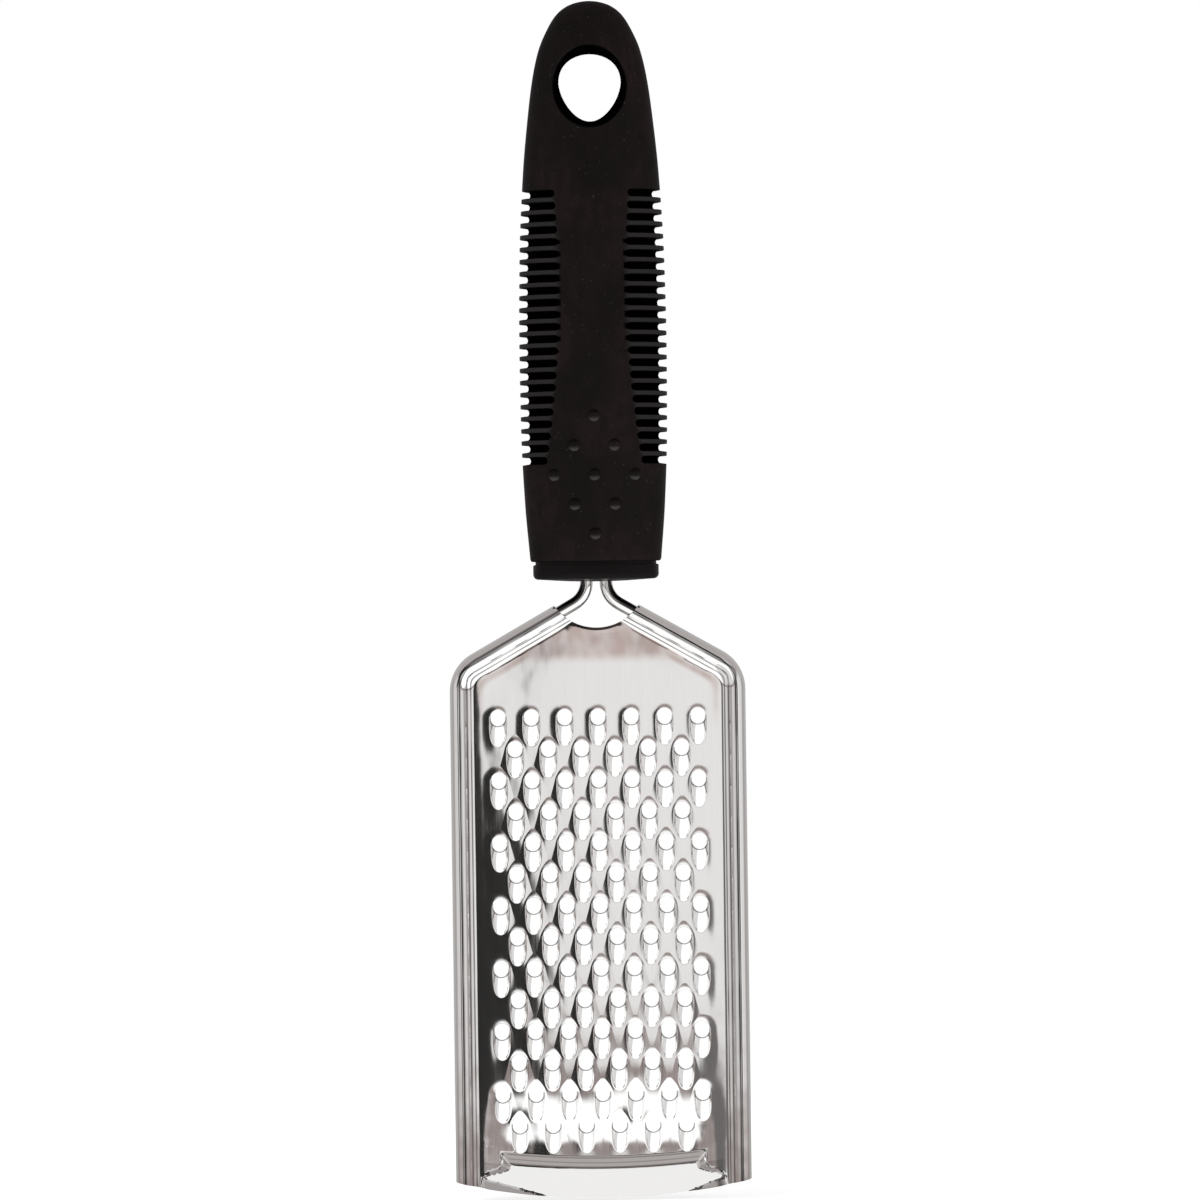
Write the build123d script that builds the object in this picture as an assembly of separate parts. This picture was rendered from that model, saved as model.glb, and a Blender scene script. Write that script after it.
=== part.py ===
from build123d import *
import math
import os

# A paddle-shaped hand grater: a stainless sheet with raised scoop teeth, carried on two bright wires, with
# a soft black handle that hangs from an egg-shaped hole.
# Millimetres and degrees. The part stands upright: +Z runs from the plate up to the handle's tip, +X to
# the right and -Y to the front, where the teeth stand out. The origin is the middle of the hanging hole.

os.makedirs("parts", exist_ok=True)

# One overrun for every cut, and the play of a pushed fit
overrun = 4.0
fit_play = 0.05

# Sheet and wire
sheet = 0.5
wire_radius = 1.5

# Lengths down the part, from the handle's tip to the plate's end
tip_above_hole = 20.4
grip_length = 131.2
collar_gap = 0.7
collar_height = 4.0
neck_window = 10.8
plate_length = 133.7

# Handle: an oval of four arcs, drawn in towards both ends
grip_width = 34.4
grip_depth = 22.0
grip_side_radius = 9.0
grip_end_chamfer = 0.5

# The dome's radius as a share of the handle's half width
dome_share = 0.657

# How far down the handle, and how far the oval is drawn in there, as shares of its length and half width
draw_in_shares = [
    (0.140, 0.218),
    (0.235, 0.125),
    (0.337, 0.055),
    (0.465, 0.000),
    (0.765, 0.000),
    (0.895, 0.045),
    (1.000, 0.109),
]

# Hanging hole: two circles and the straight flanks that touch both
hole_top_radius = 7.15
hole_top_rise = 1.2
hole_foot_radius = 5.15
hole_foot_drop = 2.95

# Finger grooves: shallow where they start beside the palm strip, deepest at the handle's side
groove_count = 23
groove_pitch = 2.83
groove_width = 1.8
groove_depth = 2.0
groove_end_depth = 1.0
groove_side_flat = 8.0
first_groove_drop = 25.0
palm_half_width = 7.85
palm_waist_drop = 46.0
palm_arc_radius = 267.0

# Thumb dots, in a diamond
dot_radius = 1.4
dot_sides = 10
dot_draft = 25.0
dot_height = 0.7
dot_pitch = 9.3
dot_row_pitch = 6.85
dot_diamond_drop = 90.6
dot_row_counts = [1, 2, 3, 2, 1]

# Hard core inside the soft sleeve, and its bare neck in the gap over the collar
core_width = 25.0
core_depth = 13.0
core_side_radius = 5.5
core_top_below_hole = 14.0

# End collar and its spigot in the core
collar_width = 29.4
collar_depth = 17.4
collar_side_radius = 7.2
collar_chamfer = 1.2
spigot_width = 15.0
spigot_depth = 8.0
spigot_length = 6.0

# Wires
tang_spacing = 4.6
tang_length = 68.0
neck_straight = 0.1
neck_bend_radius = 5.9
shoulder_angle = 29.7
corner_bend_radius = 8.0
wire_stop = 8.3

# Plate and its hems
plate_width = 69.2
hem_blend_radius = 3.0
hem_end_angle = 15.0
neck_arc_radius = 12.0
foot_arc_radius = 140.0

# Teeth: each is a leaning scoop with its open mouth towards the handle
tooth_rows = 14
long_row_count = 7
tooth_pitch = 7.8
tooth_row_pitch = 7.34
first_row_drop = 20.9
tooth_radius = 2.1
tooth_wall = 0.34
tooth_reach = 6.7
mouth_lean = 57.0
tooth_sides = 8

# Pressed ridge with its sloping lip at the plate's end
ridge_rise = 9.7
ridge_height = 2.3
ridge_flank = 2.2
ridge_arc_radius = 195.0
ridge_half_length = 21.6
ridge_end_draft = 2.0
lip_run_out = 0.9

# The dome, and levels down the part
dome_radius = dome_share * grip_width / 2
tip_z = tip_above_hole
grip_end_z = tip_z - grip_length
collar_top_z = grip_end_z - collar_gap
collar_end_z = collar_top_z - collar_height
plate_top_z = collar_end_z - neck_window
plate_end_z = plate_top_z - plate_length

# Hem, leg and bend places that follow from the sizes above
hem_bore = wire_radius + fit_play
hem_radius = hem_bore + sheet
leg_x = plate_width / 2 - hem_radius
shoulder_slope = math.tan(math.radians(shoulder_angle))
half_bend = math.radians(90 - shoulder_angle) / 2
neck_corner_z = collar_end_z - neck_straight - neck_bend_radius * math.tan(half_bend)
shoulder_corner_z = neck_corner_z - (leg_x - tang_spacing / 2) * shoulder_slope
sheet_face_y = -sheet / 2


def upright(outline, half_depth):
    """An outline drawn as seen from the front, made solid to the same depth before and behind."""
    return extrude(Plane.XZ * outline, amount=half_depth, both=True)


def broad_arc_radius(width, depth, side_radius):
    """Radius of the front and back arcs that run smoothly into the side arcs of an oval."""
    side_x = width / 2 - side_radius
    spare = depth / 2 - side_radius
    return (side_x**2 + (depth / 2) ** 2 - side_radius**2) / (2 * spare)


def oval(width, depth, side_radius, inset=0.0):
    """A four-arc oval, drawn in by an inset on all sides without moving the arcs' centres."""
    broad = broad_arc_radius(width, depth, side_radius)
    side_x = width / 2 - side_radius
    broad_y = broad - depth / 2
    radius = broad - inset
    join_x = radius * side_x / (broad - side_radius)
    join_y = radius * broad_y / (broad - side_radius) - broad_y
    end_x = width / 2 - inset
    end_y = depth / 2 - inset
    return make_face(
        [
            ThreePointArc((-join_x, -join_y), (0, -end_y), (join_x, -join_y)),
            ThreePointArc((join_x, -join_y), (end_x, 0), (join_x, join_y)),
            ThreePointArc((join_x, join_y), (0, end_y), (-join_x, join_y)),
            ThreePointArc((-join_x, join_y), (-end_x, 0), (-join_x, -join_y)),
        ]
    )


def grip_oval(inset):
    return oval(grip_width, grip_depth, grip_side_radius, inset)


def grip_levels():
    """Depth below the handle's tip and inset of the oval, at the dome's foot and at each drawn-in level."""
    levels = [(dome_radius, grip_width / 2 - dome_radius)]
    for length_share, inset_share in draw_in_shares:
        levels.append((length_share * grip_length, inset_share * grip_width / 2))
    return levels


def grip_inset_at(drop):
    """The oval's inset at a level below the hanging hole."""
    down = drop + tip_above_hole
    levels = grip_levels()
    for (upper, upper_inset), (lower, lower_inset) in zip(levels, levels[1:]):
        if upper <= down <= lower:
            share = (down - upper) / (lower - upper)
            return upper_inset + share * (lower_inset - upper_inset)
    return levels[-1][1]


def grip_front_at(x, inset):
    """How far the handle's front stands before the middle plane, beside the middle of the palm strip."""
    broad = broad_arc_radius(grip_width, grip_depth, grip_side_radius)
    return math.sqrt((broad - inset) ** 2 - x**2) - (broad - grip_depth / 2)


def grip_body():
    """The handle's outside: tapered lengths of one oval, and a dome that is the top oval turned over."""
    levels = grip_levels()
    lengths = []
    for (upper, upper_inset), (lower, lower_inset) in zip(levels, levels[1:]):
        taper = math.degrees(math.atan2(upper_inset - lower_inset, lower - upper))
        low_oval = Pos(0, 0, tip_z - lower) * grip_oval(lower_inset)
        lengths.append(extrude(low_oval, amount=lower - upper, taper=taper))
    dome_z = tip_z - dome_radius
    right_half = grip_oval(levels[0][1]) & Pos(grip_width / 2, 0) * Rectangle(grip_width, grip_depth)
    dome = revolve(Pos(0, 0, dome_z) * right_half, axis=Axis((0, 0, dome_z), (0, -1, 0)), revolution_arc=180)
    return dome + lengths


def hanging_hole():
    """The egg-shaped hole, right through."""
    top = Pos(0, hole_top_rise) * Circle(hole_top_radius)
    foot = Pos(0, -hole_foot_drop) * Circle(hole_foot_radius)
    return upright(make_hull((top + foot).edges()), grip_depth)


def palm_edge(drop):
    """Half the width of the plain palm strip, at a level below the hanging hole."""
    along = drop - palm_waist_drop
    return palm_half_width + palm_arc_radius - math.sqrt(palm_arc_radius**2 - along**2)


def groove(drop):
    """The space of one right-hand groove, run out at the palm strip, front and back."""
    inset = grip_inset_at(drop)
    start_x = palm_edge(drop)
    start_y = grip_front_at(start_x, inset) - groove_end_depth
    floor_x = grip_width / 2 - inset - groove_depth
    side_y = groove_side_flat / 2
    outside_x = grip_width / 2 + overrun
    outside_y = grip_depth / 2 + overrun
    floor = [(start_x, -start_y), (floor_x, -side_y), (floor_x, side_y), (start_x, start_y)]
    outside = [(start_x, outside_y), (outside_x, outside_y), (outside_x, -outside_y), (start_x, -outside_y)]
    outline = make_face(Polyline(*floor, *outside, close=True))
    return Pos(0, 0, -drop) * extrude(outline, amount=groove_width / 2, both=True)


def finger_grooves():
    right = [groove(first_groove_drop + count * groove_pitch) for count in range(groove_count)]
    left = [mirror(space, about=Plane.YZ) for space in right]
    return right + left


def thumb_dots():
    """Low buttons standing on the front of the handle, narrower towards their tops."""
    outline = RegularPolygon(dot_radius, dot_sides)
    button = extrude(outline, amount=dot_height, taper=dot_draft) + extrude(outline, amount=-dot_height)
    dots = []
    middle_row = (len(dot_row_counts) - 1) / 2
    for row, in_row in enumerate(dot_row_counts):
        drop = dot_diamond_drop + (row - middle_row) * dot_row_pitch
        for count in range(in_row):
            x = (count - (in_row - 1) / 2) * dot_pitch
            front = grip_front_at(x, grip_inset_at(drop))
            dots.append(Plane(origin=(x, -front, -drop), z_dir=(0, -1, 0)) * button)
    return dots


def core_oval(play=0.0):
    return oval(core_width, core_depth, core_side_radius, -play)


def upright_length(outline, top_z, end_z):
    """An outline in plan, made solid between two levels."""
    return Pos(0, 0, end_z) * extrude(outline, amount=top_z - end_z)


def grip_sleeve():
    body = grip_body()
    end_rim = body.edges().group_by(Axis.Z)[0]
    body = chamfer(end_rim, grip_end_chamfer)
    body = body - hanging_hole()
    body = body - finger_grooves()
    body = body + thumb_dots()
    return body - upright_length(core_oval(fit_play), -core_top_below_hole, grip_end_z - overrun)


def tang_bores(top_z, end_z):
    """Room for both tangs between two levels."""
    bore = upright_length(Circle(hem_bore), top_z, end_z)
    return [Pos(side * tang_spacing / 2, 0, 0) * bore for side in (-1, 1)]


def spigot_outline(play=0.0):
    return RectangleRounded(spigot_width + 2 * play, spigot_depth + 2 * play, spigot_depth / 3)


def handle_core():
    tang_top_z = collar_end_z + tang_length
    core = upright_length(core_oval(), -core_top_below_hole - fit_play, collar_top_z)
    socket_top_z = collar_top_z + spigot_length + fit_play
    core = core - upright_length(spigot_outline(fit_play), socket_top_z, collar_top_z - overrun)
    return core - tang_bores(tang_top_z + fit_play, collar_top_z - overrun)


def end_collar():
    outline = oval(collar_width, collar_depth, collar_side_radius)
    collar = upright_length(outline, collar_top_z, collar_end_z)
    collar = chamfer(collar.edges().group_by(Axis.Z)[0], collar_chamfer)
    collar = collar + upright_length(spigot_outline(), collar_top_z + spigot_length, collar_top_z)
    return collar - tang_bores(collar_top_z + spigot_length + overrun, collar_end_z - overrun)


def right_line(top_z, end_z):
    """Corners of the right wire's middle line, from a level in the handle to a level in the hem."""
    return [
        (tang_spacing / 2, 0, top_z),
        (tang_spacing / 2, 0, neck_corner_z),
        (leg_x, 0, shoulder_corner_z),
        (leg_x, 0, end_z),
    ]


def right_wire():
    corners = right_line(collar_end_z + tang_length, plate_end_z + wire_stop)
    line = FilletPolyline(*corners, radius=[neck_bend_radius, corner_bend_radius])
    section = Plane(origin=line @ 0, z_dir=line % 0) * Circle(wire_radius)
    return sweep(section, path=line)


def hem_blend_reach():
    """How far inside the wire's middle the hem has come down to the flat sheet."""
    return math.sqrt((hem_radius + hem_blend_radius - sheet / 2) ** 2 - hem_blend_radius**2)


def arc_about(centre, radius, start_angle, end_angle):
    points = []
    for angle in (start_angle, (start_angle + end_angle) / 2, end_angle):
        turn = math.radians(angle)
        points.append((centre[0] + radius * math.cos(turn), centre[1] + radius * math.sin(turn)))
    return ThreePointArc(*points)


def hem_section():
    """The sheet's own section across the wire: up over its front, round its outside and back behind it."""
    reach = hem_blend_reach()
    blend_centre = (reach, -hem_blend_radius)
    rise_angle = math.degrees(math.atan2(-hem_blend_radius, reach))
    end_angle = hem_end_angle - 360
    outer = arc_about((0, 0), hem_radius, rise_angle, end_angle)
    inner = arc_about((0, 0), hem_bore, end_angle, rise_angle)
    back = arc_about(blend_centre, hem_blend_radius + sheet / 2, 180 + rise_angle, 90)
    front = arc_about(blend_centre, hem_blend_radius - sheet / 2, 90, 180 + rise_angle)
    edge = Line(outer @ 1, inner @ 0)
    join = Line(back @ 1, front @ 0)
    return make_face([outer, edge, inner, back, join, front])


def right_hem():
    line = FilletPolyline(*right_line(tip_z, plate_end_z - overrun)[1:], radius=corner_bend_radius)
    along = line % 0
    inward = Vector(0, 1, 0).cross(along)
    across = Plane(origin=line @ 0, x_dir=inward, z_dir=along)
    return sweep(across * hem_section(), path=line)


def flat_sheet():
    """The flat of the plate, between the hems and up to the point where their lines meet."""
    reach = hem_blend_reach()
    flat_x = leg_x - reach
    shoulder_cos = math.cos(math.radians(shoulder_angle))
    peak_z = neck_corner_z + tang_spacing / 2 * shoulder_slope - reach / shoulder_cos
    side_z = peak_z - flat_x * shoulder_slope
    low_z = plate_end_z - overrun
    corners = [(0, peak_z), (flat_x, side_z), (flat_x, low_z), (-flat_x, low_z), (-flat_x, side_z)]
    face = make_face(Polyline(*corners, close=True))
    shoulders = face.vertices().sort_by(Axis.Y)[2:4]
    return upright(fillet(shoulders, corner_bend_radius - reach), sheet / 2)


def tooth_places():
    places = []
    for row in range(tooth_rows):
        in_row = long_row_count - row % 2
        z = plate_top_z - first_row_drop - row * tooth_row_pitch
        for count in range(in_row):
            places.append(((count - (in_row - 1) / 2) * tooth_pitch, z))
    return places


def leaning_bar(radius):
    """A many-sided bar that leans out of the sheet's front face, upwards from the tooth's lower end."""
    lean = math.degrees(math.asin(tooth_radius / tooth_reach))
    section = Rot(0, 0, 90 + 180 / tooth_sides) * RegularPolygon(radius, tooth_sides)
    bar = extrude(section, amount=2 * tooth_reach, both=True)
    return Pos(0, sheet_face_y, 0) * Rot(lean, 0, 0) * bar


def half_space(lean, align):
    """All the room on one side of a plane through the tooth hole's middle on the sheet's front face."""
    size = 4 * tooth_reach
    return Pos(0, sheet_face_y, 0) * Rot(lean, 0, 0) * Box(size, size, size, align=align)


def tooth_scoop():
    """The raised half of the bar, hollowed, and cut off along the leaning mouth."""
    before = half_space(0, (Align.CENTER, Align.MAX, Align.CENTER))
    below_mouth = half_space(mouth_lean, (Align.CENTER, Align.CENTER, Align.MAX))
    shell = leaning_bar(tooth_radius) - leaning_bar(tooth_radius - tooth_wall)
    return shell & before & below_mouth


def tooth_opening():
    """What one tooth takes out of the sheet: the round hole's upper half, and the hollow under the scoop."""
    above = half_space(0, (Align.CENTER, Align.CENTER, Align.MIN))
    below = half_space(0, (Align.CENTER, Align.CENTER, Align.MAX))
    inner_radius = tooth_radius - tooth_wall
    punch = upright(RegularPolygon(inner_radius, tooth_sides + 2), overrun)
    return [punch & above, leaning_bar(inner_radius) & below]


def pressed_ridge(push):
    """The ridge and its lip as a full wedge, pushed back by some thickness to form its underside."""
    front = sheet_face_y + push
    behind = front + sheet
    top_z = plate_end_z + ridge_rise
    crest_z = top_z - ridge_flank
    foot_z = plate_end_z - lip_run_out
    crest_y = front - ridge_height
    slope = [(front, top_z), (crest_y, crest_z), (front, foot_z)]
    side = Polyline(*slope, (behind, foot_z), (behind, top_z), close=True)
    centre_z = top_z + ridge_arc_radius
    half_turn = math.degrees(math.asin((ridge_half_length + 2 * ridge_end_draft) / ridge_arc_radius))
    turned = Pos(0, 0, -centre_z) * (Plane.YZ * make_face(side))
    wedge = revolve(turned, axis=Axis.Y, revolution_arc=2 * half_turn)
    wedge = Pos(0, 0, centre_z) * Rot(0, -half_turn, 0) * wedge
    wide_x = ridge_half_length + ridge_end_draft
    right = [(ridge_half_length, crest_y), (wide_x, front), (wide_x, behind)]
    left = [(-x, y) for x, y in reversed(right)]
    ends = make_face(Polyline(*right, *left, close=True))
    return wedge & Pos(0, 0, foot_z) * extrude(ends, amount=4 * ridge_rise, both=True)


def grater_plate():
    hem = right_hem()
    plate = flat_sheet() + [hem, mirror(hem, about=Plane.YZ)]
    openings = []
    scoops = []
    opening = tooth_opening()
    scoop = tooth_scoop()
    for x, z in tooth_places():
        openings.extend(Pos(x, 0, z) * space for space in opening)
        scoops.append(Pos(x, 0, z) * scoop)
    plate = plate - openings
    plate = plate + scoops
    hollow = pressed_ridge(sheet)
    plate = plate - hollow
    plate = plate + (pressed_ridge(0) - hollow)
    neck_cut = upright(Pos(0, plate_top_z + neck_arc_radius) * Circle(neck_arc_radius), grip_depth)
    foot_limit = upright(Pos(0, plate_end_z + foot_arc_radius) * Circle(foot_arc_radius), grip_depth)
    return (plate - neck_cut) & foot_limit


wire = right_wire()
nodes = {
    "grater_plate": grater_plate(),
    "right_wire": wire,
    "left_wire": mirror(wire, about=Plane.YZ),
    "handle_core": handle_core(),
    "grip_sleeve": grip_sleeve(),
    "end_collar": end_collar(),
}
for name, piece in nodes.items():
    export_step(piece, f"parts/{name}.step")
    print(name, "closed and valid:", piece.is_valid, "volume", round(piece.volume, 1))
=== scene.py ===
# %% [markdown]
# # A hand grater, dressed for its portrait
# The frame is the measured model of the grater: a plate with raised teeth on two wires, and a soft black
# handle. This lesson keeps its sizes and gives every piece the shape and finish that the eye expects.
# Everything is in metres, upright, with the origin in the middle of the hanging hole and the teeth towards
# -Y.

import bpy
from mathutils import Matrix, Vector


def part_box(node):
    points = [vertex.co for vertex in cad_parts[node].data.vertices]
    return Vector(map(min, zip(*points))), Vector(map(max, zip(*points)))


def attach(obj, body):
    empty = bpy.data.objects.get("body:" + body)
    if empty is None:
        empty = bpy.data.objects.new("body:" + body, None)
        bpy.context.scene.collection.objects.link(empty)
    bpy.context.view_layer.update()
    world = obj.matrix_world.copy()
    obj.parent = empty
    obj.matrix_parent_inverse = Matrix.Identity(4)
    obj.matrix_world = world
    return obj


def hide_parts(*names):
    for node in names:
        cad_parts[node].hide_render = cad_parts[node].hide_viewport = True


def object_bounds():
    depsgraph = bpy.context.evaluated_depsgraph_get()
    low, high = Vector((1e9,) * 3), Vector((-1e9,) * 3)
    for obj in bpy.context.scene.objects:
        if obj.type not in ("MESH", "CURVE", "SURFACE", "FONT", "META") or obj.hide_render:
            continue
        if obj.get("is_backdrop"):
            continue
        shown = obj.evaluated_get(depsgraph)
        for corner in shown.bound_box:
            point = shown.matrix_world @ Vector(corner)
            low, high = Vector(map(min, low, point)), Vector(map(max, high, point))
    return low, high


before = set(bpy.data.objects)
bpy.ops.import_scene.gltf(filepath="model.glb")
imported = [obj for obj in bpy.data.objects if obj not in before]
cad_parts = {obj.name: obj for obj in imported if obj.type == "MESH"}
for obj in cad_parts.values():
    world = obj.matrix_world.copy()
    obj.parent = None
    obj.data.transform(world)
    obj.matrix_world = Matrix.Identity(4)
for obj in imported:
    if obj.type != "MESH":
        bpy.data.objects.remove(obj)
cad_low, cad_high = (list(corner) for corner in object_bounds())

import math

import bmesh
import bpy
import numpy as np
from mathutils import Matrix, Vector
from mathutils.geometry import delaunay_2d_cdt

mm = 0.001
print("frame box in mm:", [round((h - l) / mm, 1) for l, h in zip(cad_low, cad_high)])

# %% [markdown]
# ## The camera
# The grater was photographed face on, from far away, with a very small roll. A near camera with a short
# lens could frame it too, but would look into the teeth and round the hems. So a long lens at 1.6 m gives
# the same weak perspective. The picture is 281 mm wide at the plane of the wires.

# %% Camera
picture_width = 280.92 * mm
camera_distance = 1600 * mm
camera_side = 0.85 * mm
camera_height = -119.86 * mm
camera_roll = math.radians(-0.76)


def in_scene(name, data):
    """A new object that is part of the scene."""
    made = bpy.data.objects.new(name, data)
    bpy.context.collection.objects.link(made)
    return made


camera_data = bpy.data.cameras.new("camera")
camera_data.sensor_width = 36
camera_data.lens = camera_data.sensor_width * camera_distance / picture_width
camera_data.clip_end = 100
camera = in_scene("camera", camera_data)
level = Matrix.Rotation(math.radians(90), 4, "X") @ Matrix.Rotation(camera_roll, 4, "Z")
camera.matrix_world = Matrix.Translation((camera_side, -camera_distance, camera_height)) @ level
bpy.context.scene.camera = camera
print("lens:", round(camera_data.lens, 1), "mm")

# %% [markdown]
# ## Sums in node trees
# Shaders and Geometry Nodes do their sums with Math nodes. The small class below lets this script write
# them as plain sums: every plus, minus, times or divide of two values adds one Math node to their tree.


# %% Values and nodes
class Value:
    """One output of a node, fit to stand in a sum."""

    def __init__(self, tree, socket):
        self.tree = tree
        self.socket = socket

    def __add__(self, other):
        return calc("ADD", self, other)

    def __sub__(self, other):
        return calc("SUBTRACT", self, other)

    def __rsub__(self, other):
        return calc("SUBTRACT", other, self)

    def __mul__(self, other):
        return calc("MULTIPLY", self, other)

    def __truediv__(self, other):
        return calc("DIVIDE", self, other)

    def __abs__(self):
        return calc("ABSOLUTE", self)

    __radd__ = __add__
    __rmul__ = __mul__


def plug(value, socket):
    """Join a value to a socket, or set the socket's own number."""
    if isinstance(value, Value):
        value.tree.links.new(value.socket, socket)
    else:
        socket.default_value = value


def add(tree, kind, inputs=None, out=0, **settings):
    """A new node with its settings and inputs by name; returns one of its outputs as a value."""
    made = tree.nodes.new(kind)
    for name, value in settings.items():
        setattr(made, name, value)
    for name, value in (inputs or {}).items():
        plug(value, made.inputs[name])
    return Value(tree, made.outputs[out]) if made.outputs else None


def calc(operation, *values, clamp=False):
    """The result of one Math node."""
    tree = next(value.tree for value in values if isinstance(value, Value))
    return add(tree, "ShaderNodeMath", dict(enumerate(values)), operation=operation, use_clamp=clamp)


print("node sums are ready")

# %% [markdown]
# ## The room
# Bright steel shows the room more than its own colour. So the world is written as a room for mirror rays
# only: pale walls, a dark lintel above, a bright table below with a brownish edge, a grey screen to the
# left of the camera and a narrow dark one to its right, which draws the dark band on the plate and the
# dark sides of the scoops. The camera sees plain white, and other rays a plain soft white light. A picture
# of a real studio could do this too, but bands of direction need no file and are easy to move.


# %% Room by direction
def ramp(value, low, high, low_out=0.0, high_out=1.0, kind="SMOOTHSTEP"):
    """A value carried from one range to another, eased at both ends."""
    sockets = {"Value": value, "From Min": low, "From Max": high, "To Min": low_out, "To Max": high_out}
    return add(value.tree, "ShaderNodeMapRange", sockets, interpolation_type=kind)


def mix_colour(share, first, second):
    """Two colours mixed by a share; a plain colour is (red, green, blue, 1)."""
    colours = {"Factor": share, "A": first, "B": second}
    return add(share.tree, "ShaderNodeMix", colours, "Result", data_type="RGBA")


def axes(place):
    """The three parts of a place."""
    parts = place.tree.nodes.new("ShaderNodeSeparateXYZ")
    plug(place, parts.inputs[0])
    return [Value(place.tree, socket) for socket in parts.outputs]


def band(value, low, high, edge):
    """1 between two values, fading to 0 over an edge on both sides."""
    return ramp(value, low - edge, low) * ramp(value, high, high + edge, 1.0, 0.0)


scene = bpy.context.scene
scene.view_settings.view_transform = "Standard"
scene.world = bpy.data.worlds.new("studio")
scene.world.use_nodes = True
tree = scene.world.node_tree
tree.nodes.clear()
side, depth, height = axes(add(tree, "ShaderNodeTexCoord", out="Generated"))
behind = mix_colour(ramp(height, 0.05, -0.45), (0.52, 0.51, 0.505, 1), (0.24, 0.235, 0.232, 1))
dark_screen = band(side, 0.05, 0.21, 0.018) * ramp(depth, 0.0, -0.3) * band(height, -0.12, 0.4, 0.05)
room_parts = [  # (where it is, its colour), each laid over the ones before
    (ramp(side, -0.12, -0.55), (0.72, 0.70, 0.695, 1)),  # left wall
    (ramp(side, 0.3, 0.6), (0.80, 0.78, 0.775, 1)),  # right wall
    (ramp(abs(side), 0.86, 0.97), (0.42, 0.40, 0.395, 1)),  # corners of the room
    (ramp(height, 0.1, 0.5), (0.47, 0.44, 0.432, 1)),  # ceiling
    (band(height, 0.06, 0.40, 0.04) * band(side, -0.5, 0.04, 0.05), (0.06, 0.052, 0.05, 1)),  # lintel
    (band(height, -0.112, -0.088, 0.022), (0.30, 0.25, 0.24, 1)),  # edge of the table
    (band(side, -0.34, -0.16, 0.03) * band(height, -0.11, 0.5, 0.05), (0.16, 0.15, 0.15, 1)),  # grey screen
    (ramp(height, -0.12, -0.2), (0.80, 0.79, 0.785, 1)),  # ground beside the table
    (ramp(height, -0.125, -0.15) * band(side, -0.46, 0.93, 0.07), (1.3, 1.3, 1.3, 1)),  # top of the table
    (ramp(depth, 0.05, 0.3), behind),  # all that lies behind the grater
    (dark_screen, (0.027, 0.026, 0.0255, 1))]
room = (0.91, 0.898, 0.890, 1)  # wall behind the camera
for part, colour in room_parts:
    room = mix_colour(part, room, colour)
print("parts of the room:", len(room_parts))


# %% World
def ray_kind(tree, kind):
    """1 for one kind of light ray."""
    return add(tree, "ShaderNodeLightPath", out=kind)


ambient_strength = 0.5
white = (1, 1, 1, 1)
plain = add(tree, "ShaderNodeBackground", {"Color": white, "Strength": ambient_strength})
mirrored = add(tree, "ShaderNodeBackground", {"Color": room})
backdrop = add(tree, "ShaderNodeBackground", {"Color": white})
seen_white = calc("MAXIMUM", ray_kind(tree, "Is Camera Ray"), ray_kind(tree, "Is Transmission Ray"))
unseen = add(tree, "ShaderNodeMixShader", {0: ray_kind(tree, "Is Glossy Ray"), 1: plain, 2: mirrored})
surface = add(tree, "ShaderNodeMixShader", {0: seen_white, 1: unseen, 2: backdrop})
add(tree, "ShaderNodeOutputWorld", {"Surface": surface})
print("world nodes:", len(tree.nodes))

# %% [markdown]
# ## The lamps
# The world alone could light everything, but would leave the black handle flat. Four large soft lamps
# shape it and keep the shadows pale. Mirror rays don't see them, so they leave no square glints.


# %% Lamps
def lamp(name, place, size, power):
    """A soft square lamp that looks at the middle of the grater."""
    data = bpy.data.lights.new(name, "AREA")
    data.size = size
    data.energy = power
    made = in_scene(name, data)
    made.location = place
    made.rotation_euler = (Vector((0, 0, camera_height)) - Vector(place)).to_track_quat("-Z", "Y").to_euler()
    made.visible_glossy = False
    return made


lamps = [lamp("key_lamp", (-0.75, -0.9, 0.55), 0.6, 5), lamp("fill_lamp", (0.9, -0.8, 0.1), 0.7, 3),
         lamp("low_lamp", (-0.2, -0.6, -0.9), 0.5, 9), lamp("back_lamp", (0.2, 0.9, 0.5), 0.7, 4)]
print("lamps:", [made.name for made in lamps])

# %% [markdown]
# ## The floor
# A pale floor just under the plate. It is lit to near white and fades into the white room, so only the
# grater's own shadow marks it.


# %% Floor
def object_place(tree, x=1, y=1, z=1):
    """Object coordinates, scaled by axis."""
    place = add(tree, "ShaderNodeTexCoord", out="Object")
    return add(tree, "ShaderNodeVectorMath", {0: place, 1: (x, y, z)}, operation="MULTIPLY")


def length(place):
    """The distance of a place from zero."""
    return add(place.tree, "ShaderNodeVectorMath", {0: place}, "Value", operation="LENGTH")


floor_z = cad_low[2] - 0.6 * mm
floor_radius = 0.45
fade_start = 0.15
fade_end = 0.42

bm = bmesh.new()
bmesh.ops.create_circle(bm, cap_ends=True, segments=96, radius=floor_radius)
bmesh.ops.translate(bm, verts=bm.verts, vec=(0, 0, floor_z))
floor_mesh = bpy.data.meshes.new("floor")
bm.to_mesh(floor_mesh)
bm.free()
floor = in_scene("floor", floor_mesh)
floor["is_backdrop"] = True

floor_paint = bpy.data.materials.new("floor_paint")
floor_paint.use_nodes = True
tree = floor_paint.node_tree
tree.nodes.clear()
shade = add(tree, "ShaderNodeBsdfDiffuse", {"Color": (0.92, 0.92, 0.92, 1)})
glow = add(tree, "ShaderNodeEmission", {"Strength": 0.35})
lit = add(tree, "ShaderNodeAddShader", {0: shade, 1: glow})
faded = ramp(length(object_place(tree, 1, 1, 0)), fade_start, fade_end)
clear = calc("MAXIMUM", faded, ray_kind(tree, "Is Glossy Ray"))
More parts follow.
